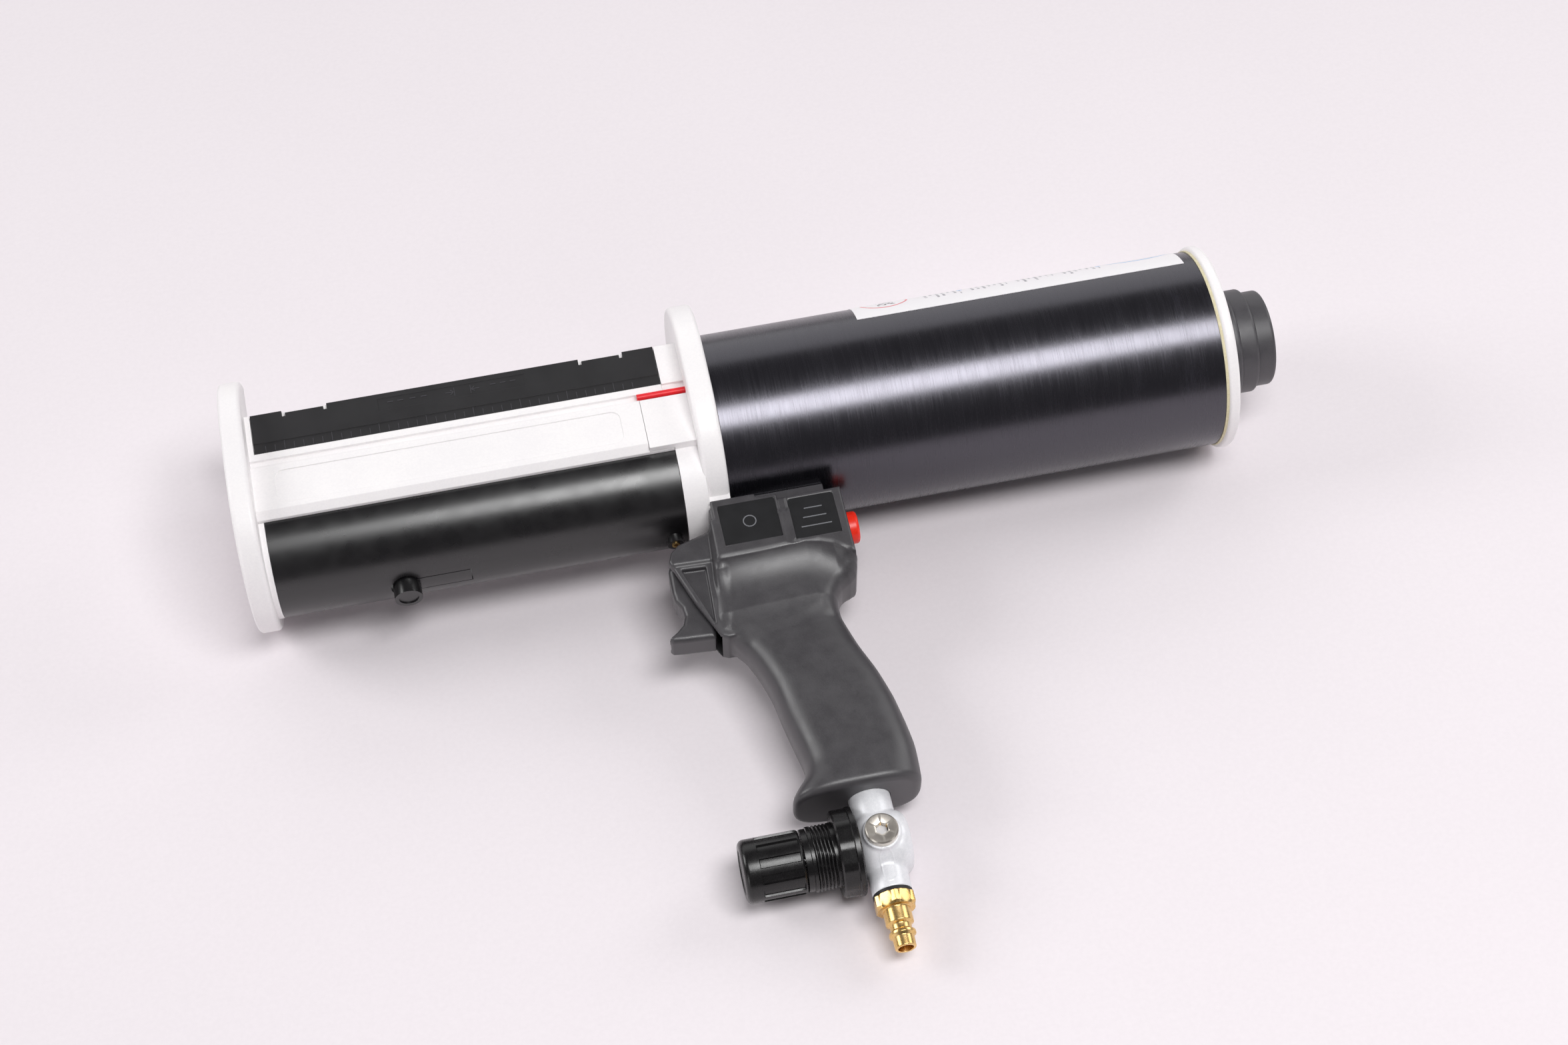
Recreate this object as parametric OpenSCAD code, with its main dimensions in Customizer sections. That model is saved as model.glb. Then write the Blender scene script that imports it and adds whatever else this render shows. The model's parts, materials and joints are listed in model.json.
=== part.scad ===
// Pneumatic caulking gun for twin cartridges: an air barrel drives two plungers through an
// open cartridge bay. It is drawn lying on its right side, with +X the dispensing direction.
// Every module below is drawn upright in the gun's own axes (x forward, y down towards the
// grip end, z out of the left side, barrel axis on y = z = 0), and place() lays it down.

/* [Barrel] */
// Outer diameter of the air barrel
barrel_d = 90; // [75:1:110]
// Length of the air barrel from the flange to the rear cap
barrel_len = 228; // [180:1:280]
// Wall of the air barrel
barrel_wall = 3; // [2:0.5:4]
// Outer diameter of the rear cap
cap_d = 94; // [92:0.5:116]
// Thickness of the rear cap's rim
cap_t = 5; // [4:0.5:8]
// Thickness of the gasket between the barrel and the rear cap
gasket_t = 1.2; // [0.8:0.1:2]
// Diameter of the largest step of the rear bumper
bumper_d = 52; // [40:1:60]
// Length of each of the bumper's three steps
bumper_step = 8.4; // [6:0.1:10]
// Length of the barrel label
label_len = 152; // [100:1:160]

/* [End plates] */
// Corner radius of the front plate and the flange, which is also half their width
plate_r = 46; // [44:0.5:56]
// How far the plates rise above the barrel axis, to the centre of the top arc
plate_rise = 17; // [14:0.5:22]
// How far the front plate drops below the barrel axis, to the centre of the bottom arc
plate_drop = 8; // [4:0.5:12]
// Thickness of the front plate
front_t = 10; // [8:0.5:14]
// Thickness of the flange between the bay and the barrel
flange_t = 11; // [9:0.5:14]
// Rounding of the plates' rims
rim_round = 2; // [1:0.25:3]
// Width of the outlet slot in the front plate
slot_w = 28; // [22:1:34]

/* [Cartridge bay] */
// Length of the open bay between the flange boss and the front plate
bay_len = 184.2; // [150:0.1:225]
// Length of the boss in front of the flange
boss_len = 9.8; // [8:0.1:14]
// Distance from the barrel axis to each cartridge's axis
cartridge_off = 22; // [20:0.5:24]
// Outer radius of the lower cartridge sleeve
sleeve_r = 29; // [27:0.5:31]
// Wall of the lower cartridge sleeve
sleeve_wall = 1.8; // [1.5:0.1:2.5]
// Thickness of the side rails' web
web_t = 2.2; // [1.8:0.1:3]
// Thickness of the side rails' bar outside the web
bar_t = 2.6; // [2.6:0.1:4]
// Thickness of the scale plate
scale_t = 1.4; // [1.2:0.1:1.8]
// Distance of the sleeve's latch knob from the flange's rear face
latch_x = 147; // [110:1:160]
// Diameter of the latch knob
latch_d = 12.4; // [10:0.2:14]

/* [Drive] */
// Diameter of each piston rod
rod_d = 13; // [10:0.5:14]
// Diameter of the plunger discs
plunger_d = 36; // [32:0.5:38]
// Length of the piston
piston_len = 22; // [18:1:30]
// Diameter of the red level rod
level_rod_d = 3; // [2.5:0.1:3.2]

/* [Grip] */
// Distance from the barrel axis to the end of the grip
grip_end = 194; // [184:1:218]
// Width of the valve block
block_w = 40; // [38:1:46]
// Width of the handle
handle_w = 33; // [30:0.5:36]
// Width of the trigger
trigger_w = 16; // [14:0.2:17]
// Diameter of the return button
button_d = 14.6; // [12:0.2:16]
// Depth of the trigger's pivot below the top of the valve block
pivot_drop = 20; // [19.5:0.1:20.5]

/* [Regulator] */
// Length of the neck between the grip and the regulator's axis
neck_len = 22.3; // [22:0.1:29]
// Diameter of the neck
neck_d = 18; // [16:0.5:20]
// Diameter of the bonnet nut's round collar
nut_d = 38; // [34:0.5:44]
// Diameter of the threaded bonnet
bonnet_d = 27.6; // [25:0.2:29]
// Diameter of the pressure knob
knob_d = 27; // [24:0.5:32]
// Length of the pressure knob
knob_len = 25.5; // [20:0.5:32]
// Width across the flats of the air nipple's hexagon
nipple_af = 16.3; // [14:0.1:19]
// Diameter of the nipple's tip
tip_d = 9; // [8:0.1:10]
// Bore of the nipple
nipple_bore = 6.4; // [5:0.1:6.6]

/* [Fits] */
// Radial gap between parts that slide or turn
run_gap = 0.06; // [0.03:0.01:0.1]
// Gap between parts that are screwed or clipped together
seat_gap = 0.15; // [0.1:0.01:0.3]

/* [Hidden] */

$fn = 72;
eps = 0.01;

barrel_r = barrel_d / 2;
bore_r = barrel_r - barrel_wall;
cap_x = -barrel_len - gasket_t;
cap_back = cap_x - cap_t;
bumper_back = cap_back - 3 * bumper_step;
spigot_len = 12;
bay_x0 = flange_t + boss_len;
plate_x = bay_x0 + bay_len;
front_x = plate_x + front_t;
ledge_len = 2.4;
web_in = sleeve_r + seat_gap;
web_out = web_in + web_t;
bar_out = web_out + bar_t;
rail_top = -30.3;
rail_bottom = 24;
bar_top = -2;
bevel = 3;
lip_top = -9.5;
lip_bottom = -6;
ear_len = 11.2;
ear_t = 0.5;
level_y = -4;
level_r = level_rod_d / 2;
level_z = min(web_out + 0.4 + level_r, sqrt(pow(bore_r - 0.5 - level_r, 2) - pow(level_y, 2)));

piston_back = cap_x + spigot_len + 2;
piston_front = piston_back + piston_len;
level_seat = 2.5;
rod_r = rod_d / 2;
plunger_t = 10;
plunger_x = bay_x0 + 1.5;
bushing_wall = 1.5;

block_top = plate_r + 2.5;
block_front = 11.5;
block_back = -47.5;
block_bottom = block_top + 34.5;
corner_r = 4;
valve_y = block_top + 29.5;
valve_r = 6.5;
spool_r = 3;
button_y = block_top + 13.5;
button_r = button_d / 2;
button_depth = 6.5;
pivot_x = 26.8;
pivot_y = block_top + pivot_drop;
spring_y = pivot_y + 27.5;
pin_r = 2;
slot_half = trigger_w / 2 + 0.5;
slot_back = 4;
slot_end = pivot_y + 43.9;
nose_half = 12;

reg_x = -29;
reg_y = grip_end + neck_len;
reg_r = 14;
reg_back = 12;
plug_z = 14.5;
port_r = 8.4;
port_len = 22;
nut_x = -19.5;
nut_len = 9.7;
bonnet_x1 = 4;
hex_y = reg_y + port_len + 1.4;
hex_len = 6;
nipple_len = 17.5;
nipple_end = hex_y + hex_len + nipple_len;

// Lying pose: the front plate's rim and the bonnet nut's collar both touch the bench
roll = asin((plate_r - nut_d / 2) / (reg_y - plate_drop));
lift = plate_drop * sin(roll) + plate_r;
mid_x = (front_x + bumper_back) / 2;
mid_y = (nipple_end * cos(roll) + tip_d / 2 * sin(roll) - plate_rise * cos(roll) - plate_r) / 2;

// Lays the gun on the bench, over the origin
module place() {
    translate([-mid_x, -mid_y, lift])
        rotate([-roll, 0, 0])
            children();
}

// Turns a shape drawn along z to lie along x, at a given start
module along_x(x0, y = 0, z = 0) {
    translate([x0, y, z])
        rotate([0, 90, 0])
            children();
}

// Turns a shape drawn along z to lie along y, at a given start
module along_y(y0, x = 0, z = 0) {
    translate([x, y0, z])
        rotate([-90, 0, 0])
            children();
}

// Rod or bore along x between two stations
module bar_x(x0, x1, r, y = 0, z = 0) {
    along_x(x0, y, z)
        cylinder(h = x1 - x0, r = r);
}

// Rod or bore along y between two stations
module bar_y(y0, y1, r, x = 0, z = 0) {
    along_y(y0, x, z)
        cylinder(h = y1 - y0, r = r);
}

// Flat ring along x
module ring_x(x0, x1, r_out, r_in, y = 0, z = 0) {
    difference() {
        bar_x(x0, x1, r_out, y, z);
        bar_x(x0 - 1, x1 + 1, r_in, y, z);
    }
}

// Half section of a rim with rounded corners: radius r, thickness t, rounding e
module rim_section(r, t, e) {
    square([r - e, t]);
    translate([0, e])
        square([r, t - 2 * e]);
    for (h = [e, t - e])
        translate([r - e, h])
            circle(r = e);
}

// Plate with two round ends and rounded rims, standing across x
module plate_body(x0, t, r, y0, y1, e) {
    along_x(x0) {
        for (y = [y0, y1])
            translate([0, y, 0])
                rotate_extrude()
                    rim_section(r, t, e);
        translate([0, y1, 0])
            rotate([90, 0, 0])
                linear_extrude(y1 - y0)
                    for (side = [0, 1])
                        mirror([side, 0])
                            rim_section(r, t, e);
    }
}

// Outline of the bay's end faces, drawn with x as -z and y as y
module bay_outline(half, low_r) {
    translate([-half, rail_top])
        square([2 * half, cartridge_off - rail_top]);
    translate([0, cartridge_off])
        circle(r = low_r);
}

// Rectangle with rounded corners between two opposite points
module round_rect(a, b, r) {
    translate([a[0] + r, a[1]])
        square([b[0] - a[0] - 2 * r, b[1] - a[1]]);
    translate([a[0], a[1] + r])
        square([b[0] - a[0], b[1] - a[1] - 2 * r]);
    for (x = [a[0] + r, b[0] - r])
        for (y = [a[1] + r, b[1] - r])
            translate([x, y])
                circle(r = r);
}

// Outlet slot through the front plate, open at the top
module outlet_slot() {
    along_x(plate_x - ledge_len - 1) {
        translate([0, plate_drop, 0])
            cylinder(h = front_t + ledge_len + 2, r = slot_w / 2);
        translate([-slot_w / 2, -plate_rise - plate_r - 1, 0])
            cube([slot_w, plate_rise + plate_r + 1 + plate_drop, front_t + ledge_len + 2]);
    }
}

plate_screw_ys = [bar_top + 5, rail_bottom - bevel - 4];
plate_screw_z = (web_in + bar_out) / 2;
plate_screw_r = 1.5;
plate_screw_len = 10;

// One child at each of the screws that hold the rails' bars
module at_plate_screws(x) {
    for (side = [-1, 1])
        for (y = plate_screw_ys)
            along_x(x, y, side * plate_screw_z)
                children();
}

module front_plate() {
    color("white")
        place()
            difference() {
                union() {
                    plate_body(plate_x, front_t, plate_r, -plate_rise, plate_drop, rim_round);
                    along_x(plate_x - ledge_len)
                        linear_extrude(ledge_len + 1)
                            bay_outline(sleeve_r, sleeve_r);
                }
                outlet_slot();
                // recesses for the heads of the screws that hold the rails
                at_plate_screws(front_x - 3.2)
                    cylinder(h = 5, r = 3.2);
                at_plate_screws(plate_x - 1)
                    cylinder(h = front_t, r = plate_screw_r + seat_gap);
            }
}

module plate_screws() {
    color("silver")
        place()
            difference() {
                union() {
                    at_plate_screws(front_x - 3)
                        cylinder(h = 2.6, r = 2.9);
                    at_plate_screws(plate_x - plate_screw_len)
                        cylinder(h = plate_screw_len + front_t - 2, r = plate_screw_r);
                }
                at_plate_screws(front_x - 2)
                    cylinder(h = 2, r = 1.5, $fn = 6);
            }
}

// Section of a side rail: web, lip under the scale, groove for the level rod, bevelled bar
module rail_section() {
    polygon([[rail_top, web_in], [rail_bottom, web_in], [rail_bottom, bar_out - bevel],
        [rail_bottom - bevel, bar_out], [bar_top, bar_out], [bar_top, web_out],
        [lip_bottom, web_out], [lip_bottom, web_out + scale_t], [lip_top, web_out + scale_t],
        [lip_top, web_out], [rail_top, web_out]]);
}

// Lays a section drawn in (y, z) along x
module extrude_x(x0, x1) {
    translate([x0, 0, 0])
        rotate([90, 0, 90])
            linear_extrude(x1 - x0)
                children();
}

module side_rail() {
    bar_end = bay_x0 + ear_len;
    difference() {
        union() {
            extrude_x(bay_x0 + seat_gap, plate_x)
                rail_section();
            translate([plate_x - ledge_len, rail_top, web_in])
                cube([ledge_len, lip_top - rail_top, web_t + scale_t]);
        }
        // the bar stops short of the flange's ear
        translate([bay_x0 - 1, bar_top - 1, web_out])
            cube([ear_len + 1 + seat_gap, rail_bottom - bar_top + 2, bar_t + 1]);
        at_plate_screws(plate_x - plate_screw_len - 1)
            cylinder(h = plate_screw_len + 2, r = plate_screw_r);
        // way for the level rod
        bar_x(bay_x0 - 1, plate_x + 1, level_r + run_gap, level_y, level_z);
        // shallow panel in the bar's face
        translate([0, 0, bar_out - 0.4])
            linear_extrude(1)
                round_rect([bar_end + 10, bar_top + 3.5], [plate_x - 10, rail_bottom - bevel - 3], 4);
    }
}

module side_rail_left() {
    color("white")
        place()
            side_rail();
}

module side_rail_right() {
    color("white")
        place()
            mirror([0, 0, 1])
                side_rail();
}

// Clip-on strip beside the bay's upper half, with two snap tabs at its top edge
module clip_plate() {
    scale_x0 = bay_x0 + 0.3;
    scale_x1 = plate_x - ledge_len - 0.3;
    tab_w = 20;
    difference() {
        translate([scale_x0, rail_top, web_out])
            cube([scale_x1 - scale_x0, lip_top - rail_top - seat_gap, scale_t]);
        // band for the graduation
        translate([scale_x0 - 1, lip_top - 5.5, web_out + scale_t - 0.3])
            cube([scale_x1 - scale_x0 + 2, 8, 1]);
        for (x = [scale_x0 + 14, scale_x1 - 14 - tab_w]) {
            for (slit = [x, x + tab_w - 1.5])
                translate([slit, rail_top - 1, web_out - 1])
                    cube([1.5, 4, scale_t + 2]);
            translate([x, rail_top - 1, web_out - 1])
                cube([tab_w, 2.2, scale_t + 2]);
        }
    }
}

module scale_plate() {
    color("black")
        place()
            difference() {
                clip_plate();
                // shallow legend field
                translate([(bay_x0 + plate_x) / 2 - 33, rail_top + 2.5, web_out + scale_t - 0.2])
                    cube([66, 6.5, 1]);
            }
}

module cover_plate() {
    color("black")
        place()
            mirror([0, 0, 1])
                clip_plate();
}

module mid_flange() {
    pad_half = 16;
    color("white")
        place()
            difference() {
                union() {
                    plate_body(0, flange_t, plate_r, -plate_rise, 0, rim_round);
                    bar_x(-spigot_len, 1, bore_r - run_gap);
                    along_x(flange_t - 1)
                        linear_extrude(boss_len + 1)
                            bay_outline(web_out, sleeve_r + 1);
                    // blocks at the ends of the scale and of the bars
                    for (side = [0, 1])
                        mirror([0, 0, side]) {
                            translate([flange_t - 1, rail_top, web_out - 1])
                                cube([boss_len + 1, lip_top - rail_top, scale_t + 1]);
                            translate([flange_t - 1, bar_top + 0.5, web_out])
                                cube([boss_len + 1 + ear_len, rail_bottom - bar_top - 0.5,
                                    bar_t + ear_t]);
                            translate([flange_t - 1, bar_top + 0.5, web_out - 2])
                                cube([boss_len + 1, rail_bottom - bar_top - 0.5, 3]);
                        }
                    // pad that the grip hangs from
                    translate([0.5, plate_r / 2, -pad_half])
                        cube([flange_t - 1, block_top - plate_r / 2, 2 * pad_half]);
                }
                for (side = [-1, 1]) {
                    bar_x(-spigot_len - 1, bay_x0 + 1, rod_r + bushing_wall,
                        side * cartridge_off);
                    bar_y(block_top - 14, block_top + 1, grip_screw_r, grip_screw_x,
                        side * grip_screw_z);
                }
                bar_x(-spigot_len - 1, bay_x0 + 1, level_r + run_gap, level_y, level_z);
                // air passage from the grip's pad to the barrel
                bar_y(air_y, block_top + 1, air_r, flange_t / 2, air_z);
                bar_x(-spigot_len - 1, flange_t / 2 + air_r, air_r, air_y, air_z);
            }
}

module sleeve_shell(x0, x1) {
    extrude_x(x0, x1)
        difference() {
            union() {
                translate([cartridge_off, 0])
                    circle(r = sleeve_r);
                translate([12, -sleeve_r])
                    square([cartridge_off - 12, 2 * sleeve_r]);
            }
            translate([cartridge_off, 0])
                circle(r = sleeve_r - sleeve_wall);
            translate([-20, -sleeve_r + sleeve_wall])
                square([cartridge_off + 20, 2 * (sleeve_r - sleeve_wall)]);
        }
}

sleeve_x0 = bay_x0 + 0.2;
sleeve_x1 = plate_x - ledge_len - 0.2;
sleeve_low = cartridge_off + sleeve_r;
insert_x = sleeve_x0 + 6.3;
insert_h = 3.4;
tongue_len = 29;
tongue_half = 4.2;

module cartridge_sleeve() {
    color("black")
        place()
            difference() {
                union() {
                    sleeve_shell(sleeve_x0, sleeve_x1);
                    bar_y(sleeve_low - 1, sleeve_low + insert_h, 3.6, insert_x);
                }
                translate([latch_x - tongue_len, sleeve_low - 6, -tongue_half - 0.4])
                    cube([tongue_len, 10, 2 * tongue_half + 0.8]);
                bar_y(sleeve_low - 8, sleeve_low + 4, latch_d / 2 + 0.9, latch_x);
                bar_y(sleeve_low - 6, sleeve_low + 6, 1.8, insert_x);
            }
}

module latch_button() {
    color("black")
        place()
            difference() {
                union() {
                    intersection() {
                        sleeve_shell(latch_x - tongue_len + 0.4, latch_x);
                        translate([latch_x - tongue_len, sleeve_low - 8, -tongue_half])
                            cube([tongue_len, 10, 2 * tongue_half]);
                    }
                    bar_y(sleeve_low - 2.2, sleeve_low + 6.2, latch_d / 2, latch_x);
                }
                bar_y(sleeve_low + 5.6, sleeve_low + 7, latch_d / 2 - 1.8, latch_x);
            }
}

module sleeve_insert() {
    color("goldenrod")
        place()
            difference() {
                bar_y(sleeve_low - 1.5, sleeve_low + insert_h + 0.4, 1.8, insert_x);
                bar_y(sleeve_low + 1, sleeve_low + insert_h + 1, 0.9, insert_x);
            }
}

module barrel() {
    color("dimgray")
        place()
            ring_x(-barrel_len, 0, barrel_r, bore_r);
}

// Curved sheet on top of the barrel, between the left and right shoulders
module barrel_label() {
    label_half = 63;
    label_x = -barrel_len + 5;
    label_t = 0.2;
    color("white")
        place()
            intersection() {
                ring_x(label_x, label_x + label_len, barrel_r + label_t, barrel_r);
                translate([-barrel_len, 0, 0])
                    rotate([0, 90, 0])
                        linear_extrude(barrel_len)
                            polygon([[0, 0],
                                [-barrel_d * sin(label_half), -barrel_d * cos(label_half)],
                                [0, -2 * barrel_d],
                                [barrel_d * sin(label_half), -barrel_d * cos(label_half)]]);
            }
}

module rear_gasket() {
    color("khaki")
        place()
            ring_x(cap_x, -barrel_len, barrel_r + 0.4, bore_r);
}

module rear_cap() {
    color("white")
        place()
            difference() {
                union() {
                    along_x(cap_back)
                        rotate_extrude()
                            rim_section(cap_d / 2, cap_t, 1.5);
                    bar_x(cap_x - 1, cap_x + spigot_len, bore_r - run_gap);
                }
                // hollow behind the piston and the seat of the bumper
                bar_x(cap_x, cap_x + spigot_len + 1, bore_r - 8);
                bar_x(cap_back - 1, cap_back + 3, bumper_d / 2 - 8);
            }
}

module rear_bumper() {
    edge = 1.6;
    color("black")
        place()
            union() {
                for (i = [0 : 2])
                    along_x(cap_back - (i + 1) * bumper_step)
                        rotate_extrude()
                            rim_section(bumper_d / 2 - 2 * i, bumper_step + (i > 0 ? 1 : 0), edge);
                bar_x(cap_back - 1, cap_back + 3, bumper_d / 2 - 8 - seat_gap);
            }
}

module piston() {
    color("silver")
        place()
            difference() {
                bar_x(piston_back, piston_front, bore_r - 0.35);
                for (x = [piston_back + 3, piston_front - 6])
                    ring_x(x, x + 3, bore_r + 1, bore_r - 3);
                for (side = [-1, 1]) {
                    bar_x(piston_back - 1, piston_front + 1, rod_r / 2, side * cartridge_off);
                    bar_x(piston_back - 1, piston_back + 7, rod_r - 1, side * cartridge_off);
                }
                bar_x(piston_front - level_seat, piston_front + 1, level_r, level_y, level_z);
            }
}

module piston_seals() {
    color("black")
        place()
            for (x = [piston_back + 3, piston_front - 6])
                ring_x(x + 0.1, x + 2.9, bore_r - 0.05, bore_r - 3);
}

module piston_rods() {
    color("silver")
        place()
            for (side = [-1, 1]) {
                bar_x(piston_front, plunger_x, rod_r, side * cartridge_off);
                bar_x(piston_back + 2, piston_front + 1, rod_r / 2, side * cartridge_off);
                bar_x(plunger_x - 1, plunger_x + plunger_t - 3, rod_r / 2, side * cartridge_off);
            }
}

module rod_nuts() {
    color("silver")
        place()
            for (side = [-1, 1])
                difference() {
                    along_x(piston_back + 2.5, side * cartridge_off)
                        cylinder(h = 4.5, r = rod_r - 1.3, $fn = 6);
                    bar_x(piston_back, piston_back + 8, rod_r / 2, side * cartridge_off);
                }
}

// Stepped disc that pushes a cartridge's own piston
module plunger(side) {
    y = side * cartridge_off;
    difference() {
        union() {
            along_x(plunger_x, y)
                rotate_extrude()
                    rim_section(plunger_d / 2, plunger_t * 0.6, 1);
            bar_x(plunger_x + 1, plunger_x + plunger_t, plunger_d / 2 - 4, y);
        }
        bar_x(plunger_x - 1, plunger_x + plunger_t - 3, rod_r / 2, y);
    }
}

module plunger_upper() {
    color("dimgray")
        place()
            plunger(-1);
}

module plunger_lower() {
    color("dimgray")
        place()
            plunger(1);
}

module rod_bushings() {
    color("goldenrod")
        place()
            for (side = [-1, 1])
                ring_x(-spigot_len + 5, bay_x0 - 0.5, rod_r + bushing_wall, rod_r + run_gap,
                    side * cartridge_off);
}

module rod_seals() {
    color("black")
        place()
            for (side = [-1, 1])
                ring_x(-spigot_len + 0.5, -spigot_len + 4.8, rod_r + bushing_wall,
                    rod_r + run_gap, side * cartridge_off);
}

module level_rod() {
    color("red")
        place()
            bar_x(piston_front - level_seat, bay_x0 + 12, level_r, level_y, level_z);
}

grip_screw_x = flange_t / 2;
grip_screw_z = 5.2;
grip_screw_r = 2;
air_r = 2;
air_y = 37;
air_z = 12.5;

// Superellipse outline, half sizes a and b
function oval(a, b, p = 0.72) = [for (i = [0 : 39])
    let (t = i * 9, c = cos(t), s = sin(t))
    [a * sign(c) * pow(abs(c), p), b * sign(s) * pow(abs(s), p)]];

// Stations of the handle: distance down, back edge, front edge, share of the half width
handle_y0 = block_bottom - 3;
handle_run = grip_end - handle_y0;
HANDLE = [[0, -47, 13, 1.12], [0.15, -34, 14, 0.98], [0.29, -37.2, 10.5, 0.96],
    [0.51, -45.7, 1.2, 0.97], [0.75, -51.9, -3.5, 1], [0.86, -53, -5, 1.02],
    [0.95, -52.4, 2, 1.04], [1, -49.5, 0, 1]];

module handle_slab(s) {
    x_mid = (s[1] + s[2]) / 2;
    along_y(handle_y0 + s[0] * handle_run - eps, x_mid)
        linear_extrude(eps)
            polygon(oval((s[2] - s[1]) / 2, handle_w / 2 * s[3]));
}

// Nose of the housing: walls beside the trigger, with a triangular panel in each
module nose_outline() {
    translate([pivot_x, pivot_y])
        polygon([[-25, -16], [-15, -11.5], [1, -6], [4.4, -3], [5.8, 2], [-1.5, 23], [-9, 42],
            [-9.5, 45], [-15, 47], [-25, 44]]);
}

// Bar across the trigger's pivot
module pivot_bar(half, r) {
    translate([pivot_x, pivot_y, -half])
        cylinder(h = 2 * half, r = r);
}

module grip_housing() {
    half = block_w / 2;
    tail_half = block_w / 2 - 7;
    color("dimgray")
        place()
            difference() {
                union() {
                    translate([0, 0, -half])
                        linear_extrude(block_w)
                            round_rect([block_back, block_top], [block_front, block_bottom],
                                corner_r);
                    // saddle under the barrel
                    translate([block_back + 6, barrel_r - 7, -12])
                        cube([-block_back - 8, block_top - barrel_r + 11, 24]);
                    // tail behind the web of the hand
                    translate([0, 0, -tail_half])
                        linear_extrude(2 * tail_half)
                            round_rect([block_back, block_bottom - 12], [-33, block_bottom + 10.5],
                                corner_r);
                    for (i = [0 : len(HANDLE) - 2])
                        hull() {
                            handle_slab(HANDLE[i]);
                            handle_slab(HANDLE[i + 1]);
                        }
                    translate([0, 0, -nose_half])
                        linear_extrude(2 * nose_half)
                            nose_outline();
                }
                bar_x(-barrel_len, 0, barrel_r + 0.1);
                bar_x(flange_t - 1 - seat_gap, bay_x0 + seat_gap, sleeve_r + 1 + seat_gap, cartridge_off);
                // trigger slot and the pocket for the grip screws' heads
                translate([slot_back, pivot_y - 3.2, -slot_half])
                    cube([40, slot_end - pivot_y + 3.2, 2 * slot_half]);
                translate([block_front + 1, pivot_y - 20, -slot_half])
                    cube([40, 20, 2 * slot_half]);
                translate([1.8, block_top + 5.5, -slot_half])
                    cube([12, 6, 2 * slot_half]);
                for (side = [-1, 1]) {
                    // triangular panels in the nose
                    translate([0, 0, side * (nose_half - 0.5)])
                        linear_extrude(3, center = true)
                            translate([pivot_x, pivot_y])
                                polygon([[-9.3, 6.5], [1.4, 6], [-8.3, 36]]);
                    bar_y(block_top - 1, block_top + 7, grip_screw_r + seat_gap, grip_screw_x,
                        side * grip_screw_z);
                    // groove between the two halves of the valve block
                    translate([-21.8, block_top - 1, side * half - 1])
                        cube([2.4, block_bottom - block_top - 8, 2]);
                }
                label_fields(1);
                bar_y(block_top - 1, valve_y, air_r, flange_t / 2, air_z);
                translate([flange_t / 2 - 2 * air_r, valve_y, 0])
                    cylinder(h = air_z, r = air_r);
                bar_x(-34, 8, valve_r + run_gap, valve_y);
                bar_x(block_back - 2, block_back + button_depth, button_r + 0.3, button_y);
                bar_x(block_back - 2, block_back + 14, 2.6, button_y);
                pivot_bar(nose_half + 1, pin_r + run_gap);
                tube_between(4 + run_gap, 1);
                bar_y(grip_end - 13.5, grip_end + 1, neck_d / 2 + run_gap, reg_x);
            }
}

// Two square fields on the valve block's left face
module label_fields(depth) {
    field_z = block_w / 2 - 0.5 * depth;
    translate([0, 0, field_z])
        linear_extrude(depth)
            round_rect([-17.8, block_top + 2.5], [7.8, block_top + 23], 1.5);
    translate([0, 0, field_z])
        linear_extrude(depth)
            round_rect([-43.5, block_top + 5], [-23.2, block_top + 26], 1.5);
}

module label_panels() {
    color("black")
        place()
            intersection() {
                label_fields(1);
                translate([-60, block_top - 8, block_w / 2 - 0.5])
                    cube([80, 50, 0.35]);
            }
}

module grip_screws() {
    color("silver")
        place()
            for (side = [-1, 1]) {
                bar_y(block_top - 12, block_top + 6, grip_screw_r, grip_screw_x,
                    side * grip_screw_z);
                bar_y(block_top + 5.5, block_top + 8, 3, grip_screw_x, side * grip_screw_z);
            }
}

// Air tube inside the handle, leaning forwards towards the valve
tube_low = grip_end - 13.5;
tube_high = valve_y + valve_r + 0.6;
tube_lean = atan2(11, tube_low - tube_high);

module tube_between(r, extra) {
    translate([reg_x, tube_low, 0])
        rotate([90, 0, 0])
            rotate([0, tube_lean, 0])
                translate([0, 0, -extra])
                    cylinder(h = (tube_low - tube_high) / cos(tube_lean) + 2 * extra, r = r);
}

module air_tube() {
    color("silver")
        place()
            difference() {
                tube_between(4, 0);
                tube_between(2.8, 1);
            }
}

module trigger() {
    color("dimgray")
        place()
            difference() {
                translate([0, 0, -trigger_w / 2])
                    linear_extrude(trigger_w)
                        translate([pivot_x, pivot_y]) {
                            polygon([[4.4, 0], [6.6, 3], [7.1, 13], [7.1, 18.5], [5.2, 24],
                                [5.6, 30], [8, 35.5], [11.6, 39], [12.4, 40.8], [11.2, 42.2],
                                [7.5, 42.9], [0, 43.3], [-8.3, 42.4], [-9.3, 36], [-5, 5.5],
                                [-4.5, 0]]);
                            circle(r = 4.6);
                        }
                pivot_bar(trigger_w, pin_r + run_gap);
                // seat of the return spring
                bar_x(15, 21.5, 3.2, spring_y);
            }
}

module trigger_pin() {
    color("silver")
        place()
            pivot_bar(nose_half - 0.3, pin_r);
}

// Compression spring drawn as a stack of coils
module coil_stack(x0, x1, r, wire, turns, y) {
    pitch = (x1 - x0 - 2 * wire) / (turns - 1);
    for (i = [0 : turns - 1])
        along_x(x0 + wire + i * pitch, y)
            rotate_extrude()
                translate([r - wire, 0])
                    circle(r = wire, $fn = 24);
}

module trigger_spring() {
    color("silver")
        place()
            coil_stack(slot_back + 0.3, 20.8, 2.7, 0.45, 8, spring_y);
}

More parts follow.
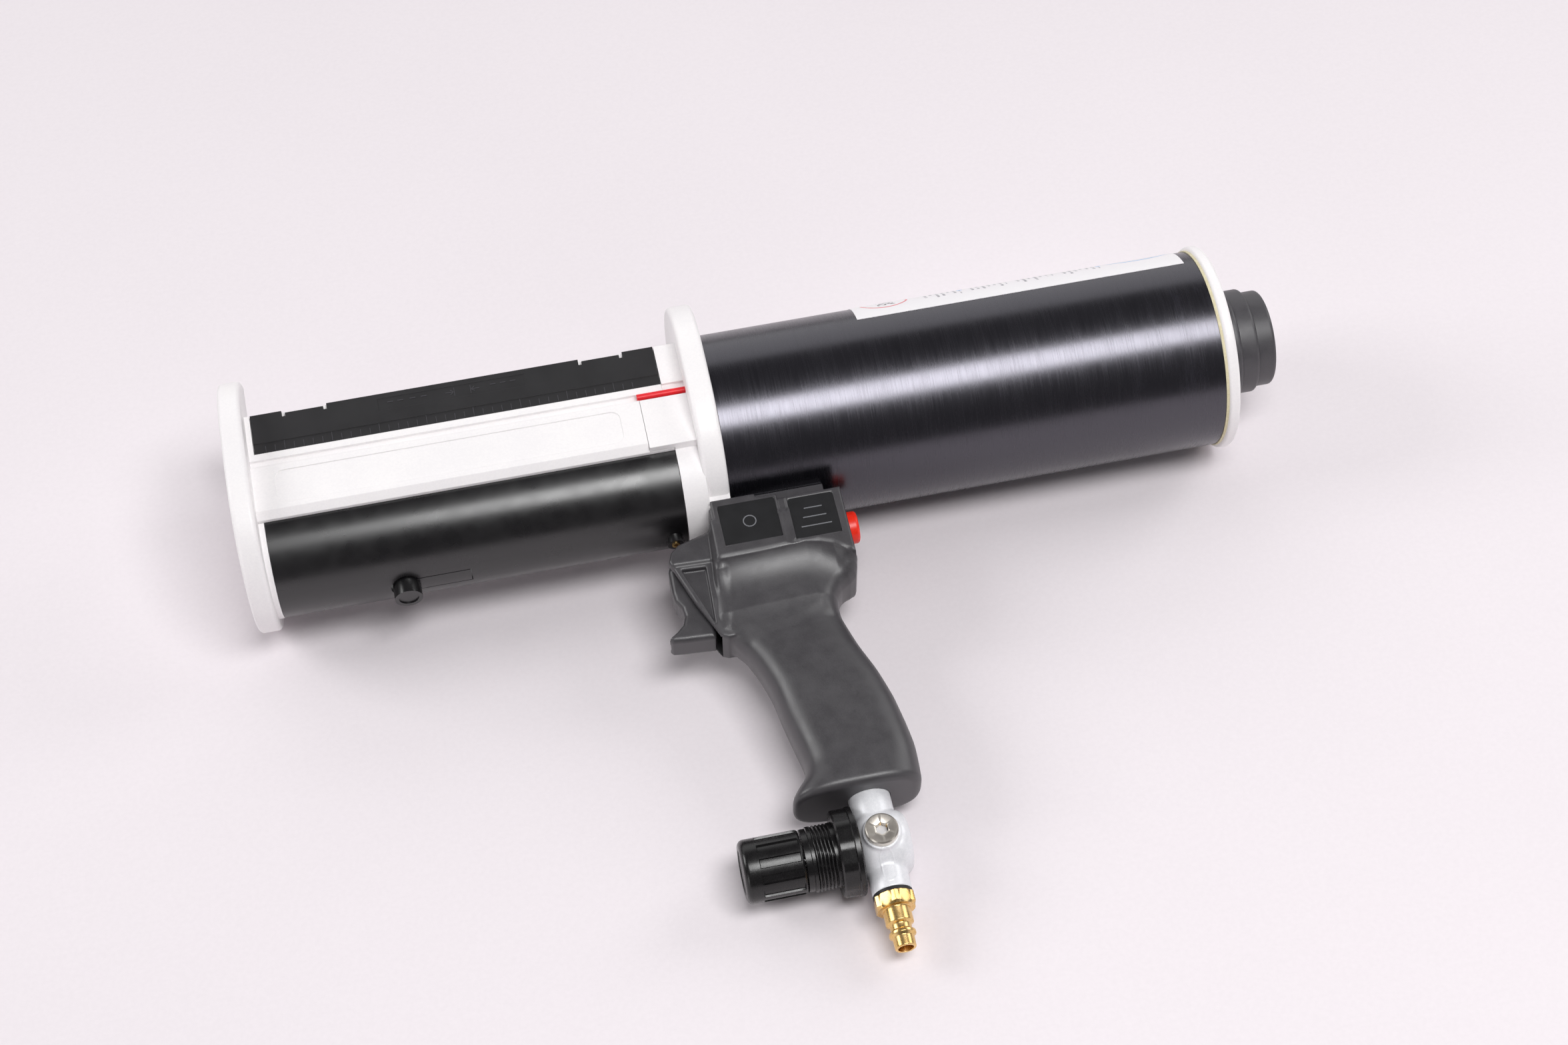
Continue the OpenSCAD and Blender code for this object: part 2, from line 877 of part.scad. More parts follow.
module valve_sleeve() {
    color("goldenrod")
        place()
            difference() {
                bar_x(-33.8, 6, valve_r, valve_y);
                bar_x(-40, 10, spool_r + run_gap, valve_y);
                for (x = [-28, -14, 0])
                    ring_x(x, x + 2, valve_r + 1, valve_r - 1.2, valve_y);
            }
}

module valve_seals() {
    color("black")
        place()
            for (x = [-28, -14, 0])
                ring_x(x + 0.1, x + 1.9, valve_r, valve_r - 1.15, valve_y);
}

module valve_spool() {
    color("silver")
        place()
            difference() {
                bar_x(-28, 20.4, spool_r, valve_y);
                for (x = [-20, -8])
                    ring_x(x, x + 5, spool_r + 1, spool_r - 1, valve_y);
            }
}

module return_button() {
    color("red")
        place()
            union() {
                along_x(block_back - 6, button_y)
                    rotate_extrude()
                        rim_section(button_r, 8, 1.5);
                bar_x(block_back + 1, block_back + 10, 2.5, button_y);
            }
}

module button_spring() {
    color("silver")
        place()
            coil_stack(block_back + 2.1, block_back + button_depth - 0.1, 4.6, 0.4, 4, button_y);
}

module regulator_body() {
    color("silver")
        place()
            difference() {
                union() {
                    along_x(reg_x - reg_back, reg_y)
                        rotate_extrude()
                            rim_section(reg_r, nut_x - reg_x + reg_back, 5);
                    bar_y(grip_end - 11, reg_y, neck_d / 2, reg_x);
                    bar_y(reg_y, reg_y + port_len, port_r, reg_x);
                    translate([reg_x, reg_y, -plug_z])
                        cylinder(h = 2 * plug_z, r = 7.8);
                }
                // inlet and outlet, the chamber under the diaphragm, and the gauge ports
                bar_y(grip_end - 12, reg_y, 4, reg_x);
                bar_y(reg_y + 12, reg_y + port_len + 1, 6.5, reg_x);
                bar_y(reg_y, reg_y + 13, 3.2, reg_x);
                bar_x(reg_x, nut_x + 1, 6, reg_y);
                for (side = [0, 1])
                    mirror([0, 0, side])
                        translate([reg_x, reg_y, 8.5])
                            cylinder(h = plug_z, r = 4.6);
            }
}

module neck_seal() {
    color("black")
        place()
            difference() {
                bar_y(grip_end - 13.4, grip_end - 11.1, neck_d / 2, reg_x);
                bar_y(grip_end - 14, grip_end - 11, 5, reg_x);
            }
}

module gauge_plugs() {
    color("lightgray")
        place()
            for (side = [0, 1])
                mirror([0, 0, side])
                    difference() {
                        translate([reg_x, reg_y, 0]) {
                            translate([0, 0, plug_z + 0.05])
                                cylinder(h = 3.3, r = 7);
                            translate([0, 0, 9])
                                cylinder(h = plug_z - 8, r = 4.6 - run_gap);
                        }
                        translate([reg_x, reg_y, 11])
                            cylinder(h = 8, r = 2.9, $fn = 6);
                    }
}

module bonnet_nut() {
    nut_x1 = nut_x + nut_len;
    color("black")
        place()
            difference() {
                union() {
                    along_x(nut_x, reg_y)
                        rotate_extrude()
                            rim_section(nut_d / 2, 3, 0.8);
                    along_x(nut_x + 2, reg_y)
                        cylinder(h = nut_len - 2, r = nut_d / 2 - 0.4, $fn = 12);
                }
                bar_x(nut_x - 1, nut_x1 + 1, bonnet_d / 2 + run_gap, reg_y);
            }
}

module bonnet() {
    pitch = 1.6;
    color("black")
        place()
            difference() {
                bar_x(nut_x, bonnet_x1, bonnet_d / 2, reg_y);
                // thread between the nut and the knob
                for (i = [0 : 5])
                    ring_x(nut_x + nut_len + 1.4 + i * pitch, nut_x + nut_len + 2.2 + i * pitch,
                        bonnet_d, bonnet_d / 2 - 0.6, reg_y);
                bar_x(nut_x + 4, bonnet_x1 - 2, bonnet_d / 2 - 3.3, reg_y);
                bar_x(nut_x - 1, nut_x + 5, 8, reg_y);
                bar_x(nut_x - 1, nut_x + 2, 10.2, reg_y);
                bar_x(bonnet_x1 - 3, bonnet_x1 + 1, 3 + run_gap, reg_y);
            }
}

module diaphragm() {
    color("black")
        place()
            bar_x(nut_x + 0.2, nut_x + 1.6, 10, reg_y);
}

module regulator_spring() {
    color("silver")
        place()
            coil_stack(nut_x + 2, bonnet_x1 - 7, 6.6, 0.9, 6, reg_y);
}

module spring_plate() {
    color("silver")
        place()
            bar_x(bonnet_x1 - 6.8, bonnet_x1 - 5, 7, reg_y);
}

module knob() {
    knob_x0 = bonnet_x1 + 0.5;
    knob_x1 = knob_x0 + knob_len;
    color("black")
        place()
            difference() {
                along_x(knob_x0, reg_y)
                    rotate_extrude()
                        rim_section(knob_d / 2, knob_len, 2.2);
                // grip flutes round the skirt
                for (i = [0 : 11])
                    translate([knob_x0 + 1.5, reg_y, 0])
                        rotate([i * 30, 0, 0])
                            translate([0, -1.1, knob_d / 2 - 0.9])
                                cube([knob_len - 7, 2.2, 3]);
                bar_x(knob_x0 - 1, bonnet_x1 + 12, 3, reg_y);
            }
}

module adjusting_screw() {
    color("silver")
        place()
            bar_x(bonnet_x1 - 4.8, bonnet_x1 + 12, 3, reg_y);
}

module nipple_seal() {
    color("black")
        place()
            difference() {
                bar_y(reg_y + port_len, hex_y, port_r, reg_x);
                bar_y(reg_y + port_len - 1, hex_y + 1, 6.6, reg_x);
            }
}

// Half section of the plug-in end, from the hexagon to the tip
module nipple_section() {
    tip_r = tip_d / 2;
    bore = nipple_bore / 2;
    polygon([[bore, -10], [6.4, -10], [6.4, 1], [5.9, 1], [5.9, hex_len + 6],
        [5.4, hex_len + 6.8], [4.2, hex_len + 7.4], [4.2, hex_len + 9], [tip_r, hex_len + 9.6],
        [5.7, hex_len + 10.2], [5.7, hex_len + 11.4], [tip_r, hex_len + 12],
        [tip_r, hex_len + nipple_len - 1], [tip_r - 0.8, hex_len + nipple_len],
        [bore, hex_len + nipple_len]]);
}

module air_nipple() {
    color("gold")
        place()
            along_y(hex_y, reg_x)
                difference() {
                    union() {
                        rotate_extrude()
                            nipple_section();
                        cylinder(h = hex_len, r = nipple_af / 2 / cos(30), $fn = 6);
                    }
                    translate([0, 0, -11])
                        cylinder(h = 2 * nipple_len + 20, r = nipple_bore / 2);
                }
}

front_plate();
side_rail_left();
side_rail_right();
mid_flange();
scale_plate();
cover_plate();
cartridge_sleeve();
latch_button();
sleeve_insert();
plate_screws();
barrel();
barrel_label();
rear_gasket();
rear_cap();
rear_bumper();
piston();
piston_seals();
piston_rods();
rod_nuts();
plunger_upper();
plunger_lower();
rod_bushings();
rod_seals();
level_rod();
grip_housing();
label_panels();
grip_screws();
trigger();
trigger_pin();
trigger_spring();
valve_sleeve();
valve_seals();
valve_spool();
return_button();
button_spring();
air_tube();
regulator_body();
neck_seal();
gauge_plugs();
bonnet_nut();
bonnet();
regulator_spring();
spring_plate();
diaphragm();
knob();
adjusting_screw();
nipple_seal();
air_nipple();
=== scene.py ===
import bpy, bmesh, json, math
import numpy as np
from mathutils import Vector, Matrix, Quaternion


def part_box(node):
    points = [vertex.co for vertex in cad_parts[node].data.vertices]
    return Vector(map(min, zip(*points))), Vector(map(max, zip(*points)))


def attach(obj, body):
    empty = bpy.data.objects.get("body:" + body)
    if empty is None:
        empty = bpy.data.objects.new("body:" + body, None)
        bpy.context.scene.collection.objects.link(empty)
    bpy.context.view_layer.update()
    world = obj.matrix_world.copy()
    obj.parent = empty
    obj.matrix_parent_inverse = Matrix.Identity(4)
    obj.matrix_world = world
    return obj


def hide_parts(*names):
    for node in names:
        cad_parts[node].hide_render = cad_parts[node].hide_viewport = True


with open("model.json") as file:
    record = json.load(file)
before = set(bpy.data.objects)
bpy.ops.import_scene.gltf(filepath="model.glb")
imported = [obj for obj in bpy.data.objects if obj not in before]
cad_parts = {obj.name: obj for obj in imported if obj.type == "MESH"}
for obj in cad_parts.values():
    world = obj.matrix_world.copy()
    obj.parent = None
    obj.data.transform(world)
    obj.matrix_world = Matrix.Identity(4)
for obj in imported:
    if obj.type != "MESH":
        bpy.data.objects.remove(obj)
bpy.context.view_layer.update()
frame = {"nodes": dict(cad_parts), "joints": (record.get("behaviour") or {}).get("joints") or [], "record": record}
cadNodes = frame["nodes"]
joints = {joint["name"]: joint for joint in frame["joints"]}
slots = {part["node"]: part["material_slot"] for part in frame["record"]["subparts"]}
bodyOf = {node: body for body, nodes in frame["record"]["behaviour"]["bodies"].items() for node in nodes}

# The gun's own axes: x forwards along the barrel, y down to the end of the grip, z out of the
# left side, in mm from the middle of the barrel's front end. toBench takes them to the bench.
leftSide = Vector(joints["trigger_pull"]["axis"])
barrelLow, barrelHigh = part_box("barrel")
barrelFront = Vector((barrelHigh.x, (barrelLow.y + barrelHigh.y) / 2, (barrelLow.z + barrelHigh.z) / 2))
rollAngle = math.asin(leftSide.y)
toBench = Matrix.Translation(barrelFront) @ Matrix.Rotation(-rollAngle, 4, "X") @ Matrix.Scale(0.001, 4)
toGun = toBench.inverted()
print("frame loaded:", len(cadNodes), "nodes, rolled", round(math.degrees(rollAngle), 2), "degrees")


# camera: where it stands round the gun in degrees, its distance in metres and its lens in mm
view = {"azimuth": 170.58, "elevation": 51.13, "roll": -2.87, "distance": 1.2544,
        "aimFromBarrel": (-0.0210, 0.05805, 0.0), "lens": 65.07}
azimuth, elevation = math.radians(view["azimuth"]), math.radians(view["elevation"])
towardsCamera = Vector((math.sin(azimuth) * math.cos(elevation), -math.cos(azimuth) * math.cos(elevation),
                        math.sin(elevation)))
cameraData = bpy.data.cameras.new("camera")
cameraData.lens = view["lens"]
camera = bpy.data.objects.new("camera", cameraData)
camera.rotation_mode = "QUATERNION"
camera.location = barrelFront + Vector(view["aimFromBarrel"]) + towardsCamera * view["distance"]
camera.rotation_quaternion = ((-towardsCamera).to_track_quat("-Z", "Y")
                              @ Quaternion((0, 0, 1), math.radians(view["roll"])))
bpy.context.collection.objects.link(camera)
bpy.context.scene.camera = camera
bpy.context.scene.view_settings.view_transform = "Standard"

studio = {
    "room": "#f4f0f4", "roomPower": 0.13,
    # where each soft box hangs, where it looks, its width and height, and its power in watts
    "boxes": {
        "softBoxTop": ((-0.30, 0.60, 1.65), (-0.1, -0.05, 0), (1.0, 0.6), 21),
        "softBoxLeft": ((1.6, -0.5, 1.1), (0, -0.1, 0), (0.9, 0.9), 13),
        "softBoxRight": ((-1.6, -0.5, 1.1), (0, -0.1, 0), (0.9, 0.9), 8),
        "fillLeft": ((1.7, 1.5, 0.6), (0, 0, 0), (0.9, 0.9), 5),
        "fillRight": ((-1.7, 1.5, 0.6), (0, 0, 0), (0.9, 0.9), 2),
        "paleWall": ((0, -1.9, 0.9), (0, -0.1, 0.1), (3.2, 1.6), 14),
    },
}


def hexColor(code):
    # sRGB hex to linear
    parts = [int(code[i:i + 2], 16) / 255 for i in (1, 3, 5)]
    return [p / 12.92 if p <= 0.04045 else ((p + 0.055) / 1.055) ** 2.4 for p in parts] + [1.0]


def addNode(tree, kind, inputs=None, **settings):
    node = tree.nodes.new(kind)
    for name, value in settings.items():
        setattr(node, name, value)
    for socket, value in (inputs or {}).items():
        if isinstance(value, bpy.types.NodeSocket):
            tree.links.new(value, node.inputs[socket])
        else:
            node.inputs[socket].default_value = value
    return node


world = bpy.data.worlds.new("studio")
bpy.context.scene.world = world
world.use_nodes = True
world.node_tree.nodes["Background"].inputs["Color"].default_value = hexColor(studio["room"])
world.node_tree.nodes["Background"].inputs["Strength"].default_value = studio["roomPower"]
for name, (place, target, size, power) in studio["boxes"].items():
    data = bpy.data.lights.new(name, "AREA")
    data.shape = "RECTANGLE"
    data.size, data.size_y = size
    data.energy = power
    light = bpy.data.objects.new(name, data)
    light.location = place
    light.rotation_euler = (Vector(target) - Vector(place)).to_track_quat("-Z", "Y").to_euler()
    bpy.context.collection.objects.link(light)


def startFinish(name, color, roughness, metallic=0.0, ior=None):
    finish = bpy.data.materials.new(name)
    finish.use_nodes = True
    tree = finish.node_tree
    shader = tree.nodes["Principled BSDF"]
    shader.inputs["Base Color"].default_value = hexColor(color)
    shader.inputs["Roughness"].default_value = roughness
    shader.inputs["Metallic"].default_value = metallic
    if ior:
        shader.inputs["IOR"].default_value = ior
    return finish, tree, shader


def gunCoordinates(tree, stretch=(1, 1, 1)):
    # the gun's own millimetres at each point, so grain and lines have real sizes
    bench = addNode(tree, "ShaderNodeTexCoord").outputs["Object"]
    gun = addNode(tree, "ShaderNodeMapping", {
        "Vector": bench, "Location": toGun.translation, "Rotation": (rollAngle, 0, 0),
        "Scale": (1000, 1000, 1000)}).outputs["Vector"]
    if stretch == (1, 1, 1):
        return gun
    return addNode(tree, "ShaderNodeVectorMath", {0: gun, 1: stretch}, operation="MULTIPLY").outputs[0]


def makeFinish(s):
    # s["colors"] are mixed by soft patches, s["grain"] is (mm between bumps, their height in mm)
    finish, tree, shader = startFinish(s["name"], s["colors"][0], s["roughness"][0], s.get("metallic", 0),
                                       s.get("ior"))
    gun = gunCoordinates(tree, s.get("stretch", (1, 1, 1)))
    patches = addNode(tree, "ShaderNodeTexNoise", {
        "Vector": gunCoordinates(tree), "Scale": 1 / s["patch"], "Detail": 3.0,
        "Roughness": 0.6}).outputs["Fac"]
    grain = addNode(tree, "ShaderNodeTexNoise", {
        "Vector": gun, "Scale": 1 / s["grain"][0], "Detail": s.get("detail", 2.0),
        "Roughness": 0.55}).outputs["Fac"]
    mixed = addNode(tree, "ShaderNodeMath", {0: patches, 1: grain}, operation="ADD").outputs[0]
    share = addNode(tree, "ShaderNodeMapRange", {
        "Value": mixed, "From Min": 0.75, "From Max": 1.25}).outputs["Result"]
    tint = addNode(tree, "ShaderNodeMix", {
        "Factor": share, 6: hexColor(s["colors"][0]), 7: hexColor(s["colors"][1])}, data_type="RGBA")
    tree.links.new(tint.outputs[2], shader.inputs["Base Color"])
    gloss = addNode(tree, "ShaderNodeMapRange", {
        "Value": share, "To Min": s["roughness"][0], "To Max": s["roughness"][1]})
    tree.links.new(gloss.outputs["Result"], shader.inputs["Roughness"])
    inputs = {"Height": grain, "Distance": s["grain"][1] / 1000, "Strength": 1.0}
    if s.get("edge"):
        rounded = addNode(tree, "ShaderNodeBevel", {"Radius": s["edge"] / 1000}, samples=8)
        inputs["Normal"] = rounded.outputs[0]
    bump = addNode(tree, "ShaderNodeBump", inputs)
    tree.links.new(bump.outputs["Normal"], shader.inputs["Normal"])
    for socket, value in s.get("sockets", {}).items():
        shader.inputs[socket].default_value = value
    return finish


finishes = {s["name"]: makeFinish(s) for s in [
    # powder-coated die casting: satin white with a fine orange peel
    {"name": "powderCoatedCasting", "colors": ("#f9f6f6", "#f3f0f1"), "roughness": (0.36, 0.46), "patch": 25,
     "grain": (0.9, 0.012), "edge": 0.45},
    # matt ABS, moulded with a fine spark-eroded texture
    {"name": "mattAbs", "colors": ("#1d1c1e", "#232224"), "roughness": (0.5, 0.6), "patch": 12,
     "grain": (0.35, 0.006), "edge": 0.2},
    # polished ABS moulding: deep black with long soft reflections and slight flow waves
    {"name": "polishedAbs", "colors": ("#0b0a0c", "#100f11"), "roughness": (0.26, 0.34), "patch": 30,
     "grain": (9.0, 0.002), "ior": 1.54, "sockets": {"Specular IOR Level": 0.75}},
    # glass-filled nylon: dark grey, dull, with a fine moulded grain that catches the light
    {"name": "glassFilledNylon", "colors": ("#383639", "#424043"), "roughness": (0.36, 0.47), "patch": 9,
     "grain": (0.32, 0.016), "detail": 1.0, "ior": 1.54, "sockets": {"Specular IOR Level": 0.7}},
    # nitrile rubber bumper: matt and slightly dusty
    {"name": "nitrileRubber", "colors": ("#39373b", "#444246"), "roughness": (0.42, 0.52), "patch": 6,
     "grain": (0.5, 0.008), "edge": 0.5, "ior": 1.52, "sockets": {"Specular IOR Level": 0.75}},
    # moulded seals: black rubber, slightly glossier than the bumper
    {"name": "sealRubber", "colors": ("#141315", "#1b1a1c"), "roughness": (0.45, 0.55), "patch": 4,
     "grain": (0.4, 0.005)},
    # cork-filled rubber gasket: cream and soft
    {"name": "creamGasket", "colors": ("#e4dcbc", "#d3c9a4"), "roughness": (0.6, 0.7), "patch": 2.5,
     "grain": (0.4, 0.01)},
    # ground steel: grey with fine lines round the rod
    {"name": "groundSteel", "colors": ("#a9a9ab", "#bdbdbf"), "roughness": (0.2, 0.3), "metallic": 1.0,
     "patch": 8, "grain": (0.25, 0.002), "stretch": (1, 0.05, 0.05)},
    # lathe-turned aluminium: pale grey metal with fine tool lines
    {"name": "turnedAluminium", "colors": ("#c4c5c8", "#d2d3d6"), "roughness": (0.25, 0.35), "metallic": 1.0,
     "patch": 8, "grain": (0.3, 0.003), "stretch": (1, 0.05, 0.05)},
    # turned brass: yellow, bright, with fine tool lines round the axis of the nipple
    {"name": "turnedBrass", "colors": ("#e4ba6e", "#edcb8e"), "roughness": (0.24, 0.32), "metallic": 1.0,
     "patch": 5, "grain": (0.22, 0.0001), "stretch": (0.3, 1, 0.3)},
    # bright nickel plate over brass: warm white metal
    {"name": "nickelPlate", "colors": ("#ddd6cb", "#e8e2d9"), "roughness": (0.3, 0.34), "metallic": 1.0,
     "patch": 5, "grain": (0.3, 0.0001)},
    # acetal push button: strong red with a soft shine
    {"name": "redAcetal", "colors": ("#f2200c", "#fb3418"), "roughness": (0.3, 0.38), "patch": 4,
     "grain": (0.5, 0.003), "edge": 0.3, "sockets": {"Subsurface Weight": 0.15, "Subsurface Scale": 0.002}},
    # painted steel indicator rod: flat red, a little darker than the button
    {"name": "redRod", "colors": ("#e0141e", "#ea2630"), "roughness": (0.35, 0.45), "patch": 6,
     "grain": (0.5, 0.004)},
    # printed film in the panels: near black and dull
    {"name": "panelFilm", "colors": ("#0f0f11", "#131316"), "roughness": (0.42, 0.5), "patch": 10,
     "grain": (0.25, 0.003)},
    # the raised divisions of the scale: a painted highlight, coloured a little paler than the strip to stand for
    # the light on their edges
    {"name": "paleHighlightAbs", "colors": ("#454348", "#39383c"), "roughness": (0.45, 0.55), "patch": 3,
     "grain": (0.3, 0.003)},
    # screen-printed grey ink: dull
    {"name": "panelInk", "colors": ("#77787c", "#6a6b6f"), "roughness": (0.45, 0.5), "patch": 3,
     "grain": (0.3, 0.002)},
    # silver enamel with metal flakes on the regulator casting
    {"name": "silverEnamel", "colors": ("#e6e7eb", "#f2f2f5"), "roughness": (0.34, 0.46), "metallic": 0.15,
     "patch": 1.2, "grain": (0.35, 0.012), "detail": 1.0},
    # moulded nylon of the regulator: black with a clear shine
    {"name": "mouldedNylon", "colors": ("#0e0d0e", "#151415"), "roughness": (0.24, 0.3), "patch": 6,
     "grain": (0.7, 0.001)},
    # drawn spring wire: grey metal
    {"name": "springWire", "colors": ("#8d8d90", "#a0a0a3"), "roughness": (0.25, 0.35), "metallic": 1.0,
     "patch": 3, "grain": (0.3, 0.002)},
]}
print("plain finishes ready:", len(finishes))

floorSize = 4.0
floorMesh = bpy.data.meshes.new("floor")
floorMesh.from_pydata([(-floorSize, -floorSize, 0), (floorSize, -floorSize, 0), (floorSize, floorSize, 0),
                       (-floorSize, floorSize, 0)], [], [(0, 1, 2, 3)])
floorMesh.materials.append(makeFinish({
    # matt backdrop paper: very pale, faintly warm
    "name": "backdropPaper", "colors": ("#efe8ec", "#ece5e9"), "roughness": (0.75, 0.85), "patch": 300,
    "grain": (2.0, 0.01)}))
floor = bpy.data.objects.new("floor", floorMesh)
bpy.context.collection.objects.link(floor)

# black anodised tube: blue-black, brushed round the barrel, dull scuffs near the rear end
anodised = {"base": "#08080b", "scuff": "#19191f", "sheen": "#f0edfb", "oxideIor": 1.77, "oxideSpecular": 0.65,
            "line": 0.5, "lineHeight": 0.0009, "cloud": 14, "rearScuffs": -196, "scuffFade": 16,
            "roughness": (0.22, 0.3)}
finish, tree, shader = startFinish("blackAnodisedAluminium", anodised["base"], 0.34, ior=anodised["oxideIor"])
shader.inputs["Specular IOR Level"].default_value = anodised["oxideSpecular"]
shader.inputs["Specular Tint"].default_value = hexColor(anodised["sheen"])
gun = gunCoordinates(tree)
# the brushed lines are drawn coarser than the real ones, so that they show
lines = addNode(tree, "ShaderNodeTexNoise", {
    "Vector": gunCoordinates(tree, (1, 0.03, 0.03)), "Scale": 1 / anodised["line"],
    "Detail": 2.0}).outputs["Fac"]
clouds = addNode(tree, "ShaderNodeTexNoise", {
    "Vector": gunCoordinates(tree, (1.6, 0.5, 0.5)), "Scale": 1 / anodised["cloud"], "Detail": 6.0,
    "Roughness": 0.7}).outputs["Fac"]
alongBarrel = addNode(tree, "ShaderNodeSeparateXYZ", {0: gun}).outputs["X"]
nearRear = addNode(tree, "ShaderNodeMapRange", {
    "Value": alongBarrel, "From Min": anodised["rearScuffs"] + anodised["scuffFade"],
    "From Max": anodised["rearScuffs"]}).outputs[0]
scuffs = addNode(tree, "ShaderNodeMapRange", {"Value": clouds, "From Min": 0.52, "From Max": 0.75}).outputs[0]
scuffed = addNode(tree, "ShaderNodeMath", {0: nearRear, 1: scuffs}, operation="MULTIPLY").outputs[0]
tint = addNode(tree, "ShaderNodeMix", {
    "Factor": scuffed, 6: hexColor(anodised["base"]), 7: hexColor(anodised["scuff"])}, data_type="RGBA")
tree.links.new(tint.outputs[2], shader.inputs["Base Color"])
dullness = addNode(tree, "ShaderNodeMath", {0: clouds, 1: lines}, operation="ADD").outputs[0]
gloss = addNode(tree, "ShaderNodeMapRange", {
    "Value": dullness, "From Min": 0.7, "From Max": 1.3, "To Min": anodised["roughness"][0],
    "To Max": anodised["roughness"][1]})
tree.links.new(gloss.outputs[0], shader.inputs["Roughness"])
bump = addNode(tree, "ShaderNodeBump", {"Height": lines, "Distance": anodised["lineHeight"] / 1000})
tree.links.new(bump.outputs[0], shader.inputs["Normal"])
finishes["blackAnodisedAluminium"] = finish

# white vinyl label: satin paper white, blocks of plain bars stand for its print, with one red ring
label = {"paper": "#f4f2f4", "ink": "#9a99a0", "blue": "#7fb2e6", "red": "#dd5a60", "dark": "#4a4a4e",
         "firstBlock": -104.5, "blockPitch": 21.8, "blocks": 4, "blockShare": 0.8, "lines": 8,
         "barStart": -42.0, "barEnd": 33.0, "barSpread": 7.0, "lineBand": (0.2, 0.62),
         "headingBand": (0.25, 0.29), "heading": (-20.0, 32.0), "ring": (-86.7, 30.0, 10.6, 0.5),
         "arc": (-206.0, 12.0, 22.0, 0.8),
         "sketchAlong": (-91.5, -83.0), "sketchAround": (25.0, 37.0), "wordLength": 0.55}
finish, tree, shader = startFinish("whiteVinylLabel", label["paper"], 0.32)
gun = addNode(tree, "ShaderNodeSeparateXYZ", {0: gunCoordinates(tree)})
barrelRadius = (barrelHigh.z - barrelLow.z) * 500


def bandSteps(name, value, low, high):
    return [(name + "Low", "GREATER_THAN", value, low), (name + "High", "LESS_THAN", value, high),
            (name, "MULTIPLY", name + "Low", name + "High")]


def ringSteps(name, x, y, radius, width):
    # a thin ring on the unrolled label
    return [(name + "X", "SUBTRACT", "along", x), (name + "Y", "SUBTRACT", "around", y),
            (name + "YY", "MULTIPLY", name + "Y", name + "Y"),
            (name + "Sum", "MULTIPLY_ADD", name + "X", name + "X", name + "YY"),
            (name + "Far", "SQRT", name + "Sum"), (name + "Off", "SUBTRACT", name + "Far", radius),
            (name + "Gap", "ABSOLUTE", name + "Off"), (name, "LESS_THAN", name + "Gap", width)]


# each step is (its name, what it does, its inputs), and an input may be an earlier step's name;
# around is the distance round the barrel from its top line, towards the left
labelSteps = [
    ("up", "MULTIPLY", "down", -1.0), ("angle", "ARCTAN2", "left", "up"),
    ("around", "MULTIPLY", "angle", barrelRadius),
    ("fromFirst", "SUBTRACT", label["firstBlock"], "along"),
    ("block", "DIVIDE", "fromFirst", label["blockPitch"]), ("blockPart", "FRACT", "block"),
    ("inShare", "LESS_THAN", "blockPart", label["blockShare"]),
    *bandSteps("onBlocks", "block", 0.0, label["blocks"]), ("inBlock", "MULTIPLY", "onBlocks", "inShare"),
    ("line", "MULTIPLY", "block", label["lines"]), ("linePart", "FRACT", "line"),
    ("lineNumber", "FLOOR", "line"), *bandSteps("onLine", "linePart", *label["lineBand"]),
    ("lineSeed", "MULTIPLY", "lineNumber", 7.3),
    ("wordPlace", "ShaderNodeCombineXYZ", {0: "lineSeed", 1: "around"}),
    ("words", "ShaderNodeTexNoise", {"Vector": "wordPlace", "Scale": label["wordLength"], "Detail": 1.0}),
    ("lineLuck", "ShaderNodeTexWhiteNoise", {"W": "lineNumber"}, {"noise_dimensions": "1D"}),
    ("blots", "ShaderNodeTexNoise", {"Vector": gunCoordinates(tree), "Scale": 0.5, "Detail": 0.0}),
    ("lineEnd", "MULTIPLY_ADD", "lineLuck", label["barSpread"], label["barEnd"]),
    *bandSteps("inBar", "around", label["barStart"], "lineEnd"), ("onWord", "GREATER_THAN", "words", 0.44),
    ("onWords", "MULTIPLY", "onWord", "inBar"), ("onBlock", "MULTIPLY", "inBlock", "onLine"),
    ("bars", "MULTIPLY", "onBlock", "onWords"),
    ("third", "DIVIDE", "block", 3.0), ("thirdPart", "FRACT", "third"),
    *bandSteps("onThird", "thirdPart", *label["headingBand"]),
    *bandSteps("onHeading", "around", *label["heading"]), ("wide", "MULTIPLY", "onBlocks", "onHeading"),
    ("headings", "MULTIPLY", "onThird", "wide"),
    *ringSteps("ring", *label["ring"]), *ringSteps("arc", *label["arc"]),
    ("blot", "GREATER_THAN", "blots", 0.55), *bandSteps("inside", "along", *label["sketchAlong"]),
    *bandSteps("beside", "around", *label["sketchAround"]), ("blotInside", "MULTIPLY", "inside", "blot"),
    ("sketch", "MULTIPLY", "blotInside", "beside"),
]
masks = {"along": gun.outputs["X"], "down": gun.outputs["Y"], "left": gun.outputs["Z"]}
for name, kind, *terms in labelSteps:
    if kind.startswith("ShaderNode"):
        inputs, settings = terms[0], dict(*terms[1:])
    else:
        inputs, settings, kind = dict(enumerate(terms)), {"operation": kind}, "ShaderNodeMath"
    inputs = {socket: masks[value] if isinstance(value, str) else value for socket, value in inputs.items()}
    masks[name] = addNode(tree, kind, inputs, **settings).outputs[0]
